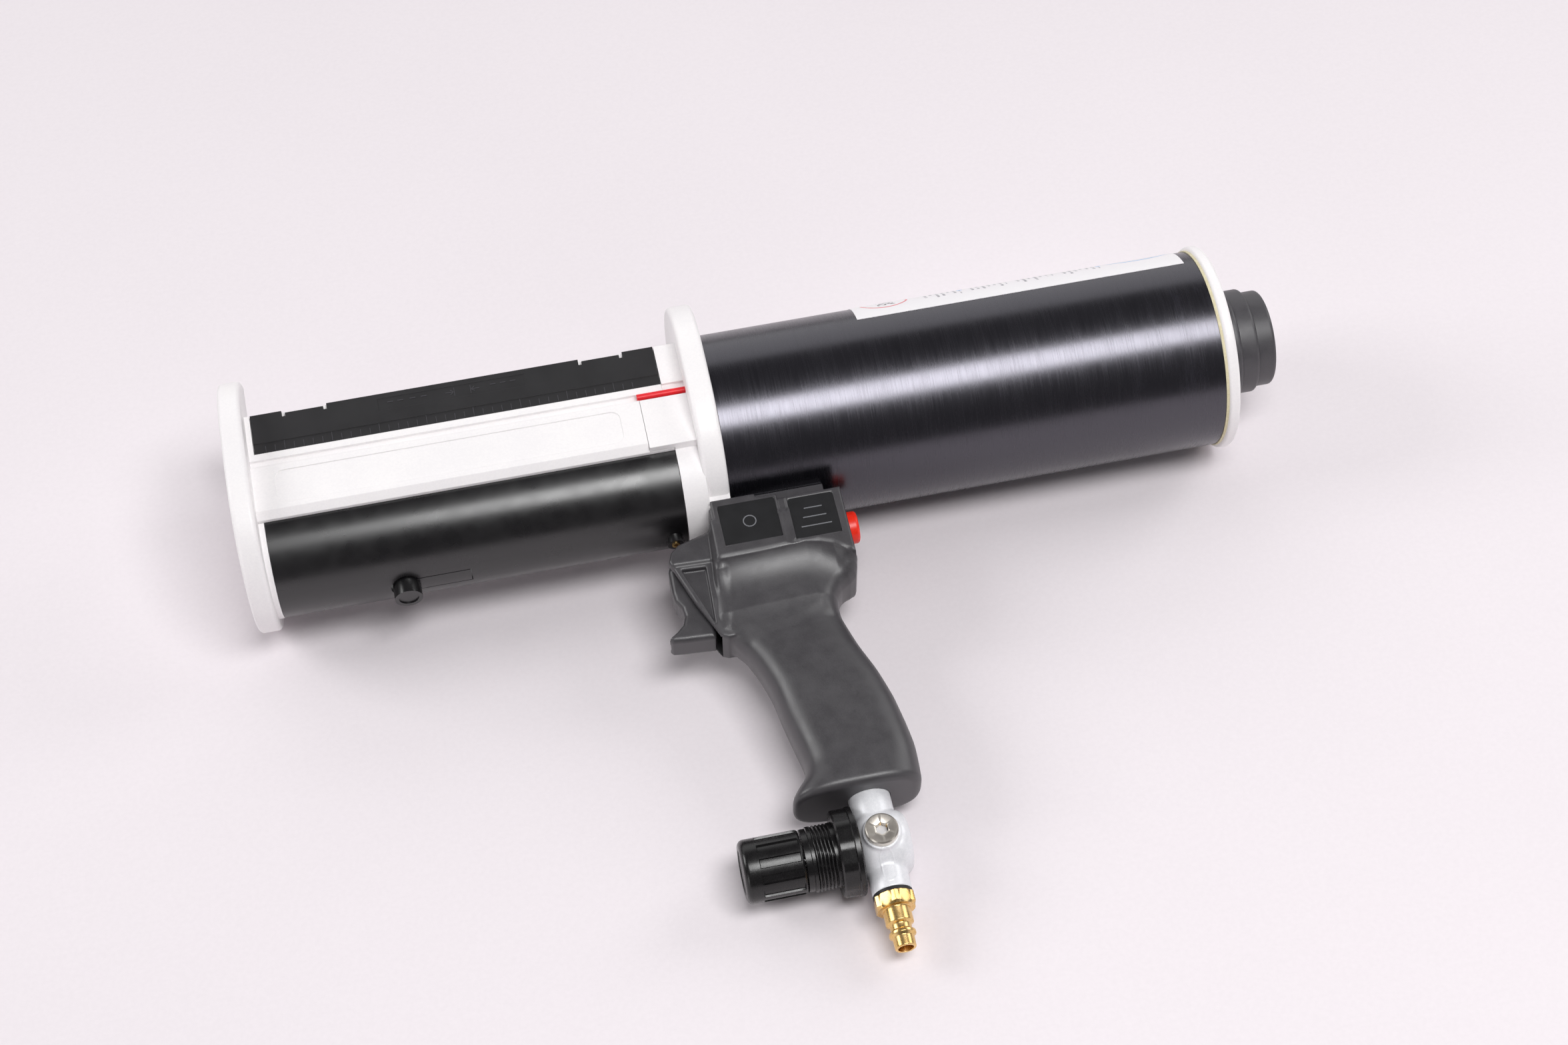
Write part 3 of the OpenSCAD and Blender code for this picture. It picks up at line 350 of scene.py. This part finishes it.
# dark blots stand for the sketch inside the ring
inkColor = hexColor(label["paper"])
for mask, color in (("bars", "ink"), ("headings", "blue"), ("ring", "red"), ("arc", "blue"),
                    ("sketch", "dark")):
    inkColor = addNode(tree, "ShaderNodeMix", {
        "Factor": masks[mask], 6: inkColor, 7: hexColor(label[color])}, data_type="RGBA").outputs[2]
tree.links.new(inkColor, shader.inputs["Base Color"])
film = addNode(tree, "ShaderNodeTexNoise", {"Vector": gunCoordinates(tree), "Scale": 0.8}).outputs["Fac"]
bump = addNode(tree, "ShaderNodeBump", {"Height": film, "Distance": 0.000008})
tree.links.new(bump.outputs[0], shader.inputs["Normal"])
finishes["whiteVinylLabel"] = finish
print("barrel and label finishes ready")

slotFinish = {
    "white_casting": "powderCoatedCasting", "clip_plastic": "mattAbs", "sleeve_plastic": "polishedAbs",
    "black_anodised": "blackAnodisedAluminium", "label_white": "whiteVinylLabel", "gasket": "creamGasket",
    "black_rubber": "nitrileRubber", "seal_rubber": "sealRubber", "clear_aluminium": "turnedAluminium",
    "steel": "groundSteel", "plunger_plastic": "mattAbs", "brass": "turnedBrass", "red_plastic": "redAcetal",
    "grip_nylon": "glassFilledNylon", "panel_film": "panelFilm", "silver_paint": "silverEnamel",
    "nickel": "nickelPlate", "black_nylon": "mouldedNylon", "spring_steel": "springWire",
}
for name, node in cadNodes.items():
    node.data.materials.clear()
    node.data.materials.append(finishes["redRod" if name == "level_rod" else slotFinish[slots[name]]])


def addPiece(name, verts, faces, node=None, standsFor=(), finish=None, sharp=32):
    # verts are in the gun's own mm; a piece rides with its node, or with the first one it stands for
    mesh = bpy.data.meshes.new(name)
    mesh.from_pydata([tuple(v) for v in verts], [], [tuple(f) for f in faces])
    shape = bmesh.new()
    shape.from_mesh(mesh)
    bmesh.ops.remove_doubles(shape, verts=shape.verts, dist=1e-4)
    bmesh.ops.recalc_face_normals(shape, faces=shape.faces)
    shape.to_mesh(mesh)
    shape.free()
    piece = bpy.data.objects.new(name, mesh)
    bpy.context.collection.objects.link(piece)
    piece.data.transform(toBench)
    piece.data.shade_smooth()
    piece.data.set_sharp_from_angle(angle=math.radians(sharp))
    node = node or standsFor[0]
    piece.data.materials.append(finishes[finish or slotFinish[slots[node]]])
    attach(piece, bodyOf[node])
    if standsFor:
        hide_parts(*standsFor)


def alongX(x=0, y=0, z=0):
    return Matrix.Translation((x, y, z)) @ Matrix.Rotation(math.pi / 2, 4, "Y")


def alongY(x=0, y=0, z=0):
    return Matrix.Translation((x, y, z)) @ Matrix.Rotation(-math.pi / 2, 4, "X")


def alongZ(x=0, y=0, z=0):
    return Matrix.Translation((x, y, z))


def filleted(corners, steps=4, closed=False):
    # corners are (x, y) or (x, y, fillet radius)
    points = []
    for k, corner in enumerate(corners):
        here = Vector(corner[:2])
        if len(corner) < 3 or (not closed and k in (0, len(corners) - 1)):
            points.append(tuple(here))
            continue
        before = (Vector(corners[k - 1][:2]) - here).normalized()
        after = (Vector(corners[(k + 1) % len(corners)][:2]) - here).normalized()
        half = before.angle(after) / 2
        centre = here + (before + after).normalized() * corner[2] / math.sin(half)
        start = here + before * corner[2] / math.tan(half) - centre
        end = here + after * corner[2] / math.tan(half) - centre
        turn = math.atan2(start.x * end.y - start.y * end.x, start.dot(end))
        for step in range(steps + 1):
            a = turn * step / steps
            points.append((centre.x + start.x * math.cos(a) - start.y * math.sin(a),
                           centre.y + start.x * math.sin(a) + start.y * math.cos(a)))
    return points


def turned(profile, place, segments=96, shape=None, closed=False):
    # profile holds (height, radius) down one side of a turned part; shape may change the radius by angle
    verts, rings, faces = [], [], []
    for h, r in profile:
        if r == 0:
            rings.append([len(verts)] * segments)
            verts.append(place @ Vector((0, 0, h)))
            continue
        rings.append(list(range(len(verts), len(verts) + segments)))
        for k in range(segments):
            a = 2 * math.pi * k / segments
            radius = shape(h, r, a) if shape else r
            verts.append(place @ Vector((radius * math.cos(a), radius * math.sin(a), h)))
    for low, high in zip(rings, rings[1:] + (rings[:1] if closed else [])):
        for k in range(segments):
            n = (k + 1) % segments
            face = list(dict.fromkeys((low[k], low[n], high[n], high[k])))
            if len(face) > 2:
                faces.append(face)
    return verts, faces


def insideFlats(acrossFlats, sides=6):
    # keeps a turned shape inside a nut's flats
    step = 2 * math.pi / sides
    return lambda h, r, a: min(r, acrossFlats / 2 / math.cos((a + step / 2) % step - step / 2))


def prism(outline, place, thickness):
    # outline in the place's x and y, standing along its z
    count = len(outline)
    verts = [place @ Vector((x, y, h)) for h in (0, thickness) for x, y in outline]
    faces = [list(range(count))[::-1], list(range(count, 2 * count))]
    faces += [[k, (k + 1) % count, count + (k + 1) % count, count + k] for k in range(count)]
    return verts, faces


def joined(*shapes):
    verts, faces = [], []
    for shapeVerts, shapeFaces in shapes:
        faces += [[k + len(verts) for k in face] for face in shapeFaces]
        verts += list(shapeVerts)
    return verts, faces


# soft-edged mouldings come from distance fields in mm, negative inside
def blended(a, b, radius):
    # union with a fillet of that radius
    return (np.maximum(radius, np.minimum(a, b))
            - np.sqrt(np.maximum(radius - a, 0) ** 2 + np.maximum(radius - b, 0) ** 2))


def trimmed(a, b, radius):
    # intersection with a rounded edge
    return (np.minimum(-radius, np.maximum(a, b))
            + np.sqrt(np.maximum(radius + a, 0) ** 2 + np.maximum(radius + b, 0) ** 2))


def outlineField(points, x, y):
    # signed distance to a closed outline
    d = np.full(np.broadcast(x, y).shape, 1e9, np.float32)
    sign = np.ones(d.shape, np.float32)
    for k in range(len(points)):
        ax, ay = points[k]
        bx, by = points[k - 1]
        ex, ey = bx - ax, by - ay
        wx, wy = x - ax, y - ay
        t = np.clip((wx * ex + wy * ey) / (ex * ex + ey * ey), 0, 1)
        d = np.minimum(d, (wx - ex * t) ** 2 + (wy - ey * t) ** 2)
        above, below, left = y >= ay, y < by, ex * wy > ey * wx
        flip = (above & below & left) | (~above & ~below & ~left)
        sign = np.where(flip, -sign, sign)
    return sign * np.sqrt(d)


def slabField(flat, z, half, edge):
    # an outline as thick as twice half, with rounded edges
    return trimmed(flat, np.abs(z) - half, edge)


def rodField(a, b, radius):
    return np.sqrt(a ** 2 + b ** 2) - radius


def surfaceOf(field, low, high, step):
    # one vertex in each cell that the surface crosses, one quad around each crossed grid line
    axes = [np.arange(a, b + step, step, dtype=np.float32) for a, b in zip(low, high)]
    values = np.asarray(field(axes[0][:, None, None], axes[1][None, :, None], axes[2][None, None, :]))
    cells = np.array(values.shape) - 1
    stride = np.array([cells[1] * cells[2], cells[2], 1])
    owners, points, quads = [], [], []
    for axis in range(3):
        b, c = (axis + 1) % 3, (axis + 2) % 3
        first = np.take(values, range(0, values.shape[axis] - 1), axis)
        second = np.take(values, range(1, values.shape[axis]), axis)
        index = np.argwhere((first < 0) != (second < 0))
        index = index[np.all(index[:, [b, c]] > 0, 1) & np.all(index[:, [b, c]] < cells[[b, c]], 1)]
        f0, f1 = first[tuple(index.T)], second[tuple(index.T)]
        crossing = index.astype(np.float64)
        crossing[:, axis] += f0 / (f0 - f1)
        ring = []
        for db, dc in ((0, 0), (1, 0), (1, 1), (0, 1)):
            cell = index.copy()
            cell[:, b] -= db
            cell[:, c] -= dc
            ring.append(cell @ stride)
            owners.append(ring[-1])
            points.append(crossing)
        ring = np.stack(ring, 1)
        ring[f0 > f1] = ring[f0 > f1][:, ::-1]
        quads.append(ring)
    used, inverse = np.unique(np.concatenate(owners), return_inverse=True)
    points = np.concatenate(points)
    count = np.bincount(inverse)
    verts = np.stack([np.bincount(inverse, points[:, k]) / count for k in range(3)], 1) * step + np.array(low)
    for _ in range(2):  # draws the vertices onto the field's own surface
        x, y, z = verts.T
        here, e = field(x, y, z), step * 0.2
        slope = np.stack([field(x + e, y, z) - field(x - e, y, z), field(x, y + e, z) - field(x, y - e, z),
                          field(x, y, z + e) - field(x, y, z - e)], 1) / (2 * e)
        move = here[:, None] * slope / np.maximum((slope ** 2).sum(1), 0.3)[:, None]
        verts -= np.clip(move, -step * 0.4, step * 0.4)
    return verts, np.searchsorted(used, np.concatenate(quads))


def smoothThrough(table, column, at):
    # smooth curve through a table's column, by its first column
    xs = [row[0] for row in table]
    ys = [row[column] for row in table]
    fine = np.linspace(xs[0], xs[-1], 400)
    rough = np.interp(fine, xs, ys)
    width = 21
    padded = np.concatenate([np.full(width, rough[0]), rough, np.full(width, rough[-1])])
    kernel = np.hanning(2 * width + 1)
    return np.interp(at, fine, np.convolve(padded, kernel / kernel.sum(), "valid"))


step = 0.55

# grip housing, moulded in one with the valve block
grip = {
    # distance down, back edge, front edge, half width
    "handle": [(74, -40, 10, 13.5), (90, -35.5, 12, 11.6), (100, -34, 13.0, 11.8),
               (113, -37.2, 10.5, 13.2), (125, -40.6, 5.1, 14.7), (138, -45.7, 1.2, 15.6),
               (152, -49.6, -0.8, 16.0), (166, -51.9, -3.6, 16.3), (176, -53.1, -5.6, 16.5),
               (183, -52.9, -4.0, 16.8), (188, -52.6, 2.0, 17.2), (196, -52.0, 5.2, 17.2)],
    "fullness": 3.1, "end": 194.0, "endRound": 3.6,
    # the ridge below the valve block, from the front to the back
    "ridge": [(12.2, 76.2), (-7, 76.0), (-20, 75.4), (-27, 75.0), (-33, 76.3), (-38.7, 78.6), (-42.7, 81.8),
              (-47.4, 85.5)],
    "blockHalf": 19.9,
    # the cove under the ridge: how far down it runs, its depth and how quickly it falls
    "cove": (23.0, 8.2, 3.1),
}


def gripField(x, y, z):
    # handle
    back, front, half = (smoothThrough(grip["handle"], k, y) for k in (1, 2, 3))
    a, p = (front - back) / 2, grip["fullness"]
    dx, dz = np.abs(x - (front + back) / 2), np.abs(z)
    q = ((dx / a) ** p + (dz / half) ** p + 1e-9) ** (1 / p)
    slope = q ** (1 - p) * np.sqrt((dx ** (p - 1) / a ** p) ** 2 + (dz ** (p - 1) / half ** p) ** 2)
    handle = (q - 1) / np.maximum(slope, 1 / (1.6 * a))
    handle = trimmed(handle, y - grip["end"], grip["endRound"])
    handle = np.maximum(handle, 66 - y)
    # column behind the trigger: its sides fall in a long cove from the ridge
    reach, depth, curl = grip["cove"]
    ridgeAt = np.interp(x, [p[0] for p in grip["ridge"]][::-1], [p[1] for p in grip["ridge"]][::-1])
    down = np.clip((y - ridgeAt - 1.0) / reach, 0, 1)
    coveHalf = grip["blockHalf"] - 0.3 - depth * (1 - (1 - down) ** curl)
    # below its foot the column sinks into the handle
    coveHalf = coveHalf - 0.35 * np.maximum(y - ridgeAt - 1.0 - reach, 0)
    backRound = 3.4 + 4.0 * np.clip((-28 - x) / 17, 0, 1)
    columnFlat = outlineField([(11.6, 58), (12.8, 70), (14.6, 88), (15.6, 100), (14.2, 106), (9, 110),
                               (-8, 114), (-30, 104), (-34.2, 98.5), (-38.5, 95.2), (-43.5, 93.4),
                               (-46.2, 91.4), (-47.3, 88.4), (-47.3, 58)], x, y)
    column = trimmed(columnFlat, np.abs(z) - coveHalf, backRound)
    rib = slabField(outlineField([(11.2, 57), (12.9, 62), (13.4, 70), (14.9, 88), (16.1, 102), (15.6, 107),
                                  (12.8, 107.5), (11.4, 102), (9.8, 88), (8.6, 57)], x, y), z,
                    np.minimum(coveHalf + 0.7, 17.2), 1.6)
    body = blended(blended(handle, column, 9.0), rib, 2.0)
    # valve block: a core and the raised frames of its two halves
    ridge = grip["ridge"]
    core = slabField(outlineField([(-47.4, 51.6), (11.4, 50.4), *ridge], x, y), z, grip["blockHalf"] - 0.9, 1.6)
    frontFrame = slabField(outlineField([(-19.2, 49.2), (-10.2, 49.0), (-9.6, 47.2), (10.2, 47.2),
                                         (10.4, 56.4), (12.1, 57.0), *ridge[:3], (-19.2, 75.2)], x, y),
                           z, grip["blockHalf"], 1.3)
    rearFrame = slabField(outlineField([(-47.4, 51.2), (-22.0, 51.6), (-22.0, 74.4), *ridge[3:]], x, y),
                          z, grip["blockHalf"], 1.3)
    block = np.minimum(np.minimum(frontFrame, rearFrame), core)
    body = blended(body, block, 2.0)
    # nose beside the trigger, with a triangular panel in each side
    nose = slabField(outlineField([(2, 55), (12, 57.0), (27.6, 62.2), (31.0, 65.3), (32.7, 70.3),
                                   (25.3, 91.7), (18.4, 107.2), (17.2, 109.6), (14.5, 110.8), (8, 110.8),
                                   (2, 108)], x, y), z, 12.0 - 0.12 * np.maximum(y - 92, 0), 1.2)
    lip = slabField(outlineField([(8, 60), (14, 58.8), (27.6, 62.4), (31.3, 65.8), (32.9, 70.0),
                                  (32.0, 72.6), (8, 73.6)], x, y), z, 13.0, 1.3)
    nose = blended(nose, lip, 0.8)
    panel = outlineField([(17.6, 75.4), (28.2, 74.8), (18.7, 103.0)], x, y)
    nose = trimmed(nose, -trimmed(panel, 9.7 - np.abs(z), 0.6), 0.9)
    body = blended(body, nose, 1.2)
    saddle = np.maximum(np.abs(x + 21.7) - 19.5, np.maximum(np.abs(y - 46) - 8, np.abs(z) - 12))
    body = np.minimum(body, saddle)
    # room for the barrel, the flange's pad, the cartridge sleeve's end and the trigger
    room = np.minimum(rodField(y, z, 45.1), np.maximum(np.maximum(-x - 0.5, x - 11.2),
                                                       np.maximum(y - 48.6, np.abs(z) - 16.3)))
    room = np.minimum(room, np.maximum(np.maximum(9.8 - x, x - 21), rodField(y - 22, z, 30.2)))
    room = np.minimum(room, np.maximum(np.maximum(4 - x, y - 109.2), np.maximum(65.3 - y, np.abs(z) - 8.5)))
    room = np.minimum(room, np.maximum(np.maximum(12.5 - x, y - 68.5), np.maximum(48.5 - y, np.abs(z) - 8.5)))
    # two label fields, the button's bore and the neck's bore
    for (x0, y0), (x1, y1) in (((-17.8, 51.0), (7.8, 71.5)), ((-43.5, 53.5), (-23.2, 74.5))):
        flat = np.maximum(np.abs(x - (x0 + x1) / 2) - (x1 - x0) / 2,
                          np.abs(y - (y0 + y1) / 2) - (y1 - y0) / 2)
        room = np.minimum(room, np.maximum(flat, 19.45 - z))
    room = np.minimum(room, np.maximum(rodField(y - 62, z, 7.6), x + 41))
    room = np.minimum(room, np.maximum(rodField(x + 29, z, 9.15), 180 - y))
    return np.maximum(body, -room)


verts, faces = surfaceOf(gripField, (-56, 36, -22), (36, 197, 22), step)
addPiece("gripShell", verts, faces, standsFor=["grip_housing"], sharp=50)
print("grip shell:", len(verts), "points")

# trigger
lever = {
    "outline": filleted([(27.0, 64.2, 3), (31.4, 65.6, 3), (33.6, 71), (33.9, 82), (33.4, 86.4), (31.2, 90.6),
                         (30.8, 94.6), (32.3, 98.6), (35.6, 101.6), (38.9, 103.2, 1), (39.6, 104.8, 1),
                         (38.2, 106.4, 1), (33.5, 107.0), (27, 107.4), (19.4, 108.0, 1), (18.2, 103.0),
                         (21.8, 74), (22.2, 67.5, 3)], closed=True),
    "half": 7.0, "edge": 2.4,
}


def triggerField(x, y, z):
    body = slabField(outlineField(lever["outline"], x, y), z, lever["half"], lever["edge"])
    # the finger's hollow is deeper in the middle of the width
    body = np.maximum(body, -rodField(x - 46.0, y - 92.6, 14.4 - 0.014 * z ** 2))
    return np.maximum(body, -rodField(x - 26.8, y - 68.5, 2.06))


verts, faces = surfaceOf(triggerField, (14, 60, -10), (43, 115, 10), 0.4)
addPiece("triggerLever", verts, faces, standsFor=["trigger"], sharp=50)
print("trigger:", len(verts), "points")

# regulator casting
regulator = {"x": -29.0, "y": 216.3, "round": 14.0, "fillet": 1.1}


def regulatorField(x, y, z):
    ax, ay = x - regulator["x"], y - regulator["y"]
    ball = trimmed(rodField(ay, z, regulator["round"]), np.maximum(-12.2 - ax, ax - 9.5), 5.5)
    neck = np.maximum(rodField(ax, z, 9.0), np.maximum(-33.4 - ay, ay))
    port = trimmed(rodField(ax, z, 8.4), np.maximum(-ay, ay - 22), 0.5)
    boss = trimmed(rodField(ax, ay, 7.9), np.abs(z) - 14.45, 0.7)
    shape = blended(blended(ball, neck, 0.9), port, regulator["fillet"])
    shape = blended(shape, boss, 0.9)
    # oval frame cast on the port
    oval = np.sqrt(np.maximum(np.abs(ay - 13.2) - 3.4, 0) ** 2 + ax ** 2) - 2.7
    shape = np.where(z > 0, shape - 0.22 * np.clip(1 - np.abs(oval) / 0.35, 0, 1), shape)
    room = np.minimum(np.maximum(rodField(ax, z, 6.5), 12 - ay), np.maximum(rodField(ax, z, 4.0), ay + 1))
    return np.maximum(shape, -room)


verts, faces = surfaceOf(regulatorField, (-43, 182, -16), (-18, 240, 16), 0.33)
addPiece("regulatorCasting", verts, faces, standsFor=["regulator_body"], sharp=50)

# pressure knob: panels between bars, moulded round its grip
knob = {"flats": 12, "radius": 13.5, "depth": 0.75, "panel": (5.4, 23.0), "ramp": 0.35,
        "foot": [(4.6, 0), (4.6, 13.0), (5.3, 13.5)],
        "end": [(23.0, 13.5), (30.0, 13.5, 2.6), (30.0, 9.6), (29.6, 9.2), (29.6, 0)]}


def knobShape(h, r, a):
    if r < knob["radius"] - 0.3:
        return r
    (low, high), ramp = knob["panel"], knob["ramp"]
    inBand = min(1, max(0, (h - low) / ramp)) * min(1, max(0, (high - h) / ramp))
    around = (a / (2 * math.pi) * knob["flats"]) % 1
    return r - knob["depth"] * inBand * min(1, max(0, (0.29 - abs(around - 0.5)) / 0.03))


panelRings = [(h, knob["radius"]) for h in (5.4, 5.58, 5.75, 8, 12, 16, 20, 22.65, 22.83, 23.0)]
verts, faces = turned(knob["foot"] + panelRings + filleted(knob["end"], steps=7)[1:],
                      alongX(0, regulator["y"]), 288, knobShape)
addPiece("knobGrip", verts, faces, standsFor=["knob"], sharp=28)

bonnet = {"radius": 13.8, "bore": 6.5, "thread": (-8.5, -0.2), "pitch": 1.55, "depth": 0.6,
          "end": [(1.2, 13.8), (1.5, 13.2), (3.9, 13.2), (3.9, 6.5)]}


def threadShape(h, r, a):
    # a slanting groove once for each pitch
    low, high = bonnet["thread"]
    if not low < h < high or r < 13:
        return r
    phase = (h / bonnet["pitch"] - a / (2 * math.pi)) % 1
    return r - bonnet["depth"] * (1 - min(1, abs(phase - 0.5) * 2.6))


bonnetFoot = [(-19.4, bonnet["bore"]), (-19.4, bonnet["radius"])]
threadRings = [(-9.6 + 0.13 * k, bonnet["radius"]) for k in range(76)]
verts, faces = turned(bonnetFoot + threadRings + bonnet["end"], alongX(0, regulator["y"]), 120,
                      threadShape, closed=True)
addPiece("bonnetThreaded", verts, faces, standsFor=["bonnet"], sharp=28)

nut = {"acrossFlats": 36.4, "sides": 12,
       "profile": [(-19.4, 14.0), (-19.4, 18.2), (-18.8, 18.9), (-16.9, 18.9), (-16.5, 18.5),
                   (-10.6, 18.5), (-9.9, 17.6), (-9.8, 17.0), (-9.8, 14.0)]}
nutFlats = insideFlats(nut["acrossFlats"], nut["sides"])
verts, faces = turned(nut["profile"], alongX(0, regulator["y"]), 144,
                      lambda h, r, a: nutFlats(h, r, a) if h > -16.6 and r > 15 else r, closed=True)
addPiece("bonnetNutFlats", verts, faces, standsFor=["bonnet_nut"], sharp=20)

# plugs in the two gauge ports, and the bare brass inside their hexagon sockets
plug = {"socket": 5.0,
        "shell": [(9.2, 0), (9.2, 4.5), (14.55, 4.5), (14.55, 6.6), (14.9, 6.95), (17.3, 6.95), (17.8, 6.4),
                  (17.8, 3.4), (17.45, 3.0), (12.2, 3.0), (12.2, 0)],
        "lining": [(12.3, 0), (12.3, 2.75), (17.2, 2.85), (17.2, 2.98), (12.25, 2.98), (12.25, 0)]}
socketFlats = insideFlats(plug["socket"])
ports = [alongZ(regulator["x"], regulator["y"]) @ Matrix.Rotation(turn, 4, "X") for turn in (0, math.pi)]
for name, part, wall, rest in (
        ("plugSockets", "lining", 2.9, {"node": "gauge_plugs", "finish": "turnedBrass"}),
        ("gaugePlugs", "shell", 3.3, {"standsFor": ["gauge_plugs"]})):
    verts, faces = joined(*[turned(plug[part], port, 96,
                                   lambda h, r, a: socketFlats(h, r, a) if r < wall else r)
                            for port in ports])
    addPiece(name, verts, faces, sharp=28, **rest)

nipple = {"acrossFlats": 16.3, "hexLow": 239.7,
          # height above the hexagon's foot, radius, fillet
          "profile": [(-9, 0), (-9, 6.3), (0, 6.3), (0, 8.3), (0.5, 9.3), (5.0, 9.35), (6.0, 8.0),
                      (6.0, 5.9, 0.5), (12.4, 5.9, 0.4), (13.2, 4.6, 0.6), (15.6, 4.5, 0.5),
                      (16.4, 5.7, 0.3), (17.6, 5.7, 0.3), (18.6, 4.6, 0.5), (23.1, 4.5, 0.3),
                      (23.35, 4.0, 0.2), (23.35, 3.3, 0.2), (2, 3.2), (2, 0)]}
hexLow = nipple["hexLow"]
hexFlats = insideFlats(nipple["acrossFlats"])
verts, faces = turned(filleted([(hexLow + h, *rest) for h, *rest in nipple["profile"]]),
                      alongY(regulator["x"]), 96,
                      lambda h, r, a: hexFlats(h, r, a) if -0.1 <= h - hexLow <= 6.01 and r > 6.5 else r)
addPiece("couplingNipple", verts, faces, standsFor=["air_nipple"], sharp=28)
print("regulator pieces ready")


def bar(x0, x1, y0, y1, face, height):
    # a low bar on the left side
    return prism([(x0, y0), (x1, y0), (x1, y1), (x0, y1)], alongZ(0, 0, face), height)


# divisions on the left strip, one for each 10 ml, and plain arrows and bars for its legend
scale = {"first": 33.2, "pitch": 4.2, "count": 40, "low": -10.3, "short": 3.0, "long": 4.5, "width": 0.32,
         "face": 32.45, "height": 0.16}
legend = {"y": -24.6, "face": 32.55, "height": 0.14, "arrows": ((112.0, 1), (104.0, -1)),
          "bars": (84, 88.5, 93, 124, 129, 134.5, 139)}
marks = []
for k in range(scale["count"]):
    x = scale["first"] + k * scale["pitch"]
    tall = scale["long"] if k % 5 == 2 else scale["short"]
    marks.append(bar(x, x + scale["width"], scale["low"] - tall, scale["low"], scale["face"], scale["height"]))
y, onLegend = legend["y"], (legend["face"], legend["height"])
for x, way in legend["arrows"]:
    marks.append(bar(x, x + way * 3.6, y - 0.2, y + 0.2, *onLegend))
    for lean in (1, -1):
        marks.append(prism([(x, y), (x + way * 1.5, y + lean * 1.0), (x + way * 1.5, y + lean * 1.45),
                            (x - way * 0.1, y + lean * 0.25)], alongZ(0, 0, legend["face"]),
                           legend["height"]))
    marks.append(bar(x - way * 0.5, x - way * 0.2, y - 2.2, y + 2.2, *onLegend))
for x in legend["bars"]:
    marks.append(bar(x, x + 2.6, y - 0.9, y - 0.5, *onLegend))
verts, faces = joined(*marks)
# the marks take the paler finish, a painted highlight on their edges
addPiece("graduationMarks", verts, faces, node="scale_plate", finish="paleHighlightAbs")

# marks on the valve block's two panels: a plain ring, and three bars
panelMarks = {"face": 19.86, "height": 0.06, "ring": (-5.0, 61.0, 2.5, 3.0), "barWidth": 0.55,
              "bars": ((-37.5, -29.5, 59.4), (-38.6, -28.2, 64.0), (-40.2, -26.6, 68.6))}
ringX, ringY, inner, outer = panelMarks["ring"]
ringMark = turned([(0, inner), (0, outer), (panelMarks["height"], outer), (panelMarks["height"], inner)],
                  alongZ(ringX, ringY, panelMarks["face"]), 64, closed=True)
barMarks = [bar(x0, x1, y, y + panelMarks["barWidth"], panelMarks["face"], panelMarks["height"])
            for x0, x1, y in panelMarks["bars"]]
verts, faces = joined(ringMark, *barMarks)
addPiece("panelPrint", verts, faces, node="label_panels", finish="panelInk")
print("marks ready")

bpy.context.view_layer.update()
